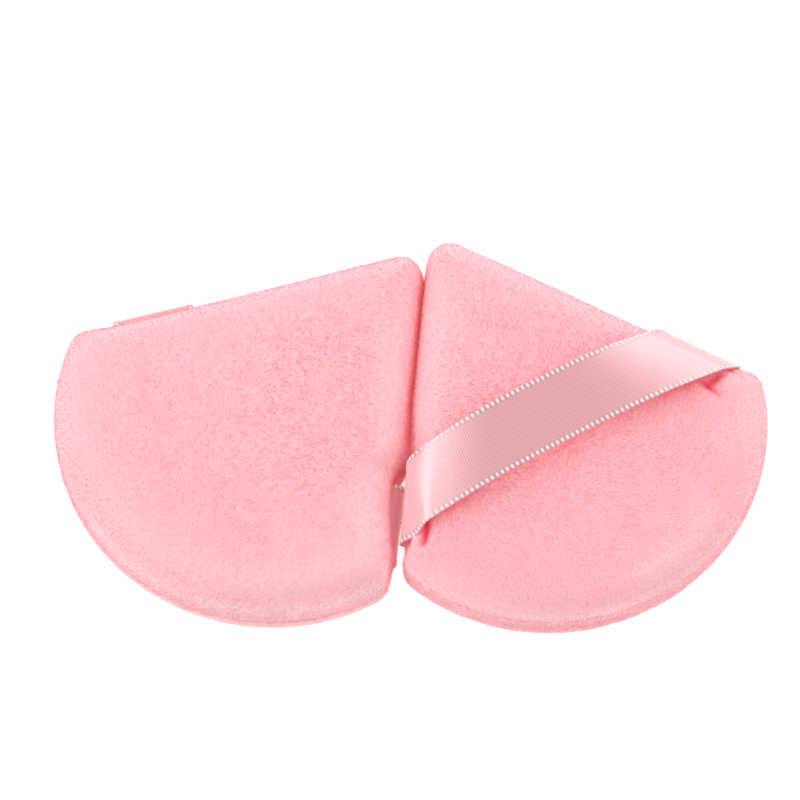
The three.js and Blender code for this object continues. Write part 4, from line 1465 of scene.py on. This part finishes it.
def pile_tree():
    """Spikes that follow the nap stored on a cover."""
    tree, given = geometry_tree(
        "velour_pile",
        {
            "Density": "Float",
            "Length": "Float",
            "Width": "Float",
            "Mess": "Float",
            "Seed": "Int",
            "Ribbon": "Object",
            "Material": "Material",
        },
    )

    def random_between(low, high, seed):
        inputs = {"Min": low, "Max": high, "Seed": seed}
        kind = "FLOAT_VECTOR" if isinstance(low, tuple) else "FLOAT"
        node = put(tree, "FunctionNodeRandomValue", inputs, data_type=kind)
        return socket(node.outputs, "Value")

    has_pile = sums(tree, "GREATER_THAN", named(tree, "pile"), NO_PILE)
    density = sums(tree, "MULTIPLY", given["Density"], has_pile)
    inputs = {"Mesh": given["Geometry"], "Density": density, "Seed": given["Seed"]}
    scattered = put(tree, "GeometryNodeDistributePointsOnFaces", inputs)
    mess = random_between((-1, -1, -1), (1, 1, 1), MESS_SEED)
    mess = scaled(tree, mess, given["Mess"])
    lean = vectors(tree, "ADD", named(tree, "nap", "FLOAT_VECTOR"), mess)
    lean = vectors(tree, "NORMALIZE", lean)
    share = sums(tree, "MULTIPLY_ADD", named(tree, "pile"), 1 - PILE_SHORTEST, PILE_SHORTEST)
    full = sums(tree, "MULTIPLY", given["Length"], random_between(*SPIKE_LENGTHS, LENGTH_SEED))
    full = sums(tree, "MULTIPLY", full, share)
    ribbon = put(tree, "GeometryNodeObjectInfo", {"Object": given["Ribbon"]}).outputs["Geometry"]
    spot = put(tree, "GeometryNodeInputPosition").outputs[0]
    inputs = {
        "Target Geometry": ribbon,
        "Source Position": spot,
        "Ray Direction": lean,
        "Ray Length": full,
    }
    met = put(tree, "GeometryNodeRaycast", inputs).outputs
    short = sums(tree, "MULTIPLY", met["Hit Distance"], STOPS_SHORT)
    inputs = {"Switch": met["Is Hit"], "False": full, "True": short}
    reach = put(tree, "GeometryNodeSwitch", inputs, input_type="FLOAT").outputs[0]
    held = scattered.outputs["Points"]
    held = labelled(tree, held, "tuft", random_between(0.0, 1.0, TUFT_SEED))
    held = labelled(tree, held, "reach", reach)
    held = labelled(tree, held, "way", lean, "FLOAT_VECTOR")
    inputs = {"Vertices": 3, "Radius Top": 0.0, "Radius Bottom": 0.5, "Depth": 1.0}
    spike = put(tree, "GeometryNodeMeshCone", inputs, fill_type="NGON").outputs["Mesh"]
    along = put(tree, "ShaderNodeSeparateXYZ", {0: spot}).outputs["Z"]
    spike = labelled(tree, spike, "tip", along)
    inputs = {"Vector": named(tree, "way", "FLOAT_VECTOR")}
    leaning = put(tree, "FunctionNodeAlignRotationToVector", inputs, axis="Z").outputs[0]
    inputs = {"Axis": (0, 0, 1), "Angle": random_between(0.0, FULL_TURN, SPIN_SEED)}
    spin = put(tree, "FunctionNodeAxisAngleToRotation", inputs).outputs[0]
    inputs = {"Rotation": leaning, "Rotate By": spin}
    turned = put(tree, "FunctionNodeRotateRotation", inputs, rotation_space="LOCAL").outputs[0]
    inputs = {"X": given["Width"], "Y": given["Width"], "Z": named(tree, "reach")}
    size = put(tree, "ShaderNodeCombineXYZ", inputs).outputs[0]
    inputs = {"Points": held, "Instance": spike, "Rotation": turned, "Scale": size}
    placed = put(tree, "GeometryNodeInstanceOnPoints", inputs)
    finished_tree(tree, placed.outputs[0], given["Material"])
    return tree


PILE = pile_tree()


def pile(puff, way, seed):
    """The pile of one cover, kept clear of both halves of its puff's ribbon."""
    cloth = covers[puff.name, way]
    name = cloth.name.replace("_cloth", "_pile")
    both = bpy.data.meshes.new(name + "_ribbon")
    parts = [ribbons[puff.name, side][0].data for side in SIDE_WORDS]
    corners = np.concatenate([points_of(part) for part in parts]) * MM
    shift = len(parts[0].vertices)
    faces = [list(p.vertices) for p in parts[0].polygons]
    faces += [[v + shift for v in p.vertices] for p in parts[1].polygons]
    both.from_pydata(corners.tolist(), [], faces)
    strap = bpy.data.objects.new(both.name, both)
    scene.collection.objects.link(strap)
    values = {
        "Density": PILE_DENSITY,
        "Length": PILE_LENGTH * MM,
        "Width": PILE_WIDTH * MM,
        "Mess": PILE_MESS,
        "Seed": seed,
        "Ribbon": strap,
        "Material": VELOUR_PILE,
    }
    mesh = grown(name, cloth.data, PILE, values)
    bpy.data.objects.remove(strap)
    for label in ("nap", "pile", "reach", "way"):
        if label in mesh.attributes:
            mesh.attributes.remove(mesh.attributes[label])
    print(f"{name}: {len(mesh.vertices) // 4} spikes")
    return shown(name, mesh, smooth=False)


piles = {
    (puff.name, way): pile(puff, way, PILE_SEED + way)
    for puff in (LEFT, RIGHT)
    for way in WAY_WORDS
}

# %% [markdown]
# ## Sponge cores
#
# The sponge fills both covers. It is one closed form that follows their inner skins, with a
# groove for the seam that is turned in. It only shows where a cover is cut or moved away.

# %% Cores
CORE_CLEARANCE = 0.3
GROOVE_DEPTH = 2.4
CELL_SCALE = 1500.0
FOAM_DEEP = (0.80, 0.66, 0.55, 1)
FOAM_PALE = (1.0, 0.93, 0.86, 1)


def core(puff):
    """The sponge of one puff."""
    inset = PILE_HEIGHT + SWELL + CLOTH + CORE_CLEARANCE
    apart = CLOTH + 2 * CORE_CLEARANCE
    bottom = SEAM_DRAW + SEAM_ALLOWANCE + GROOVE_DEPTH
    rows = []
    for way in WAY_WORDS:
        places, normals = skin_rows(puff, way, inset, INNER_ROWS)
        moved = shaped(puff, places, normals, inset - SWELL)
        keep = way * (moved[:, 0, 2] - SEAM_HEIGHT) > apart
        groove = puff.ring(bottom, SEAM_HEIGHT + way * apart)
        rows.append([moved[0][:1], *moved[keep][1:], groove])
    loops = rows[0] + rows[1][::-1]
    mesh = lofted(puff.name + "_sponge", [puff.laid(loop) for loop in loops])
    volume = face_outwards(mesh)
    print(f"{puff.name} sponge: {volume / 1000:.1f} cm3")
    return shown(puff.name + "_sponge", mesh)


def sponge_material():
    """Open-cell foam."""
    made, tree, shader = material("sponge")
    inputs = {"Vector": own_place(tree), "Scale": CELL_SCALE}
    cells = put(tree, "ShaderNodeTexVoronoi", inputs).outputs["Distance"]
    finish = {
        "Base Color": blended(tree, cells, FOAM_DEEP, FOAM_PALE),
        "Roughness": 1,
        "Normal": raised(tree, cells, 0.8, 0.3),
    }
    feed(tree, shader, finish)
    return made


SPONGE = sponge_material()
cores = {}
for puff in (LEFT, RIGHT):
    cores[puff.name] = core(puff)
    cores[puff.name].data.materials.append(SPONGE)

# %% [markdown]
# ## Sewing threads
#
# The seam, the closing stitches and the ribbon's tacks are the frame's own solids. They lie hidden
# in the seam, so they keep their shape and only get the look of thread.

# %% Threads and tacks
sewn = [node for name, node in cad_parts.items() if "thread" in name or "tack" in name]
for node in sewn:
    node.data.materials.clear()
    node.data.materials.append(SEWING_FINISH)
print(len(sewn), "threads and tacks")

# %% [markdown]
# ## What rides on what
#
# Covers, pile and sponge ride on their puff, and the frame's solids for them are hidden. Each half
# ribbon and its picots stay where they are built, and the frame's ribbon solids are hidden.

# %% Bodies and hidden frame solids
for puff in (LEFT, RIGHT):
    body, strap = puff.name + "_puff", puff.name + "_strap"
    for way, word in WAY_WORDS.items():
        cloth, nap_pile = covers[puff.name, way], piles[puff.name, way]
        for piece in (cloth, nap_pile):
            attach(piece, body)
        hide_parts(f"{puff.name}_{word}_cover")
    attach(cores[puff.name], body)
    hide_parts(puff.name + "_sponge_core")
    for side, word in SIDE_WORDS.items():
        ribbon, loops, length = ribbons[puff.name, side]
        start, end = blend_points(puff, side)
        for piece in (ribbon, loops):
            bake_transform(piece)
        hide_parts(f"{puff.name}_{word}_ribbon_end", puff.name + "_ribbon_middle")
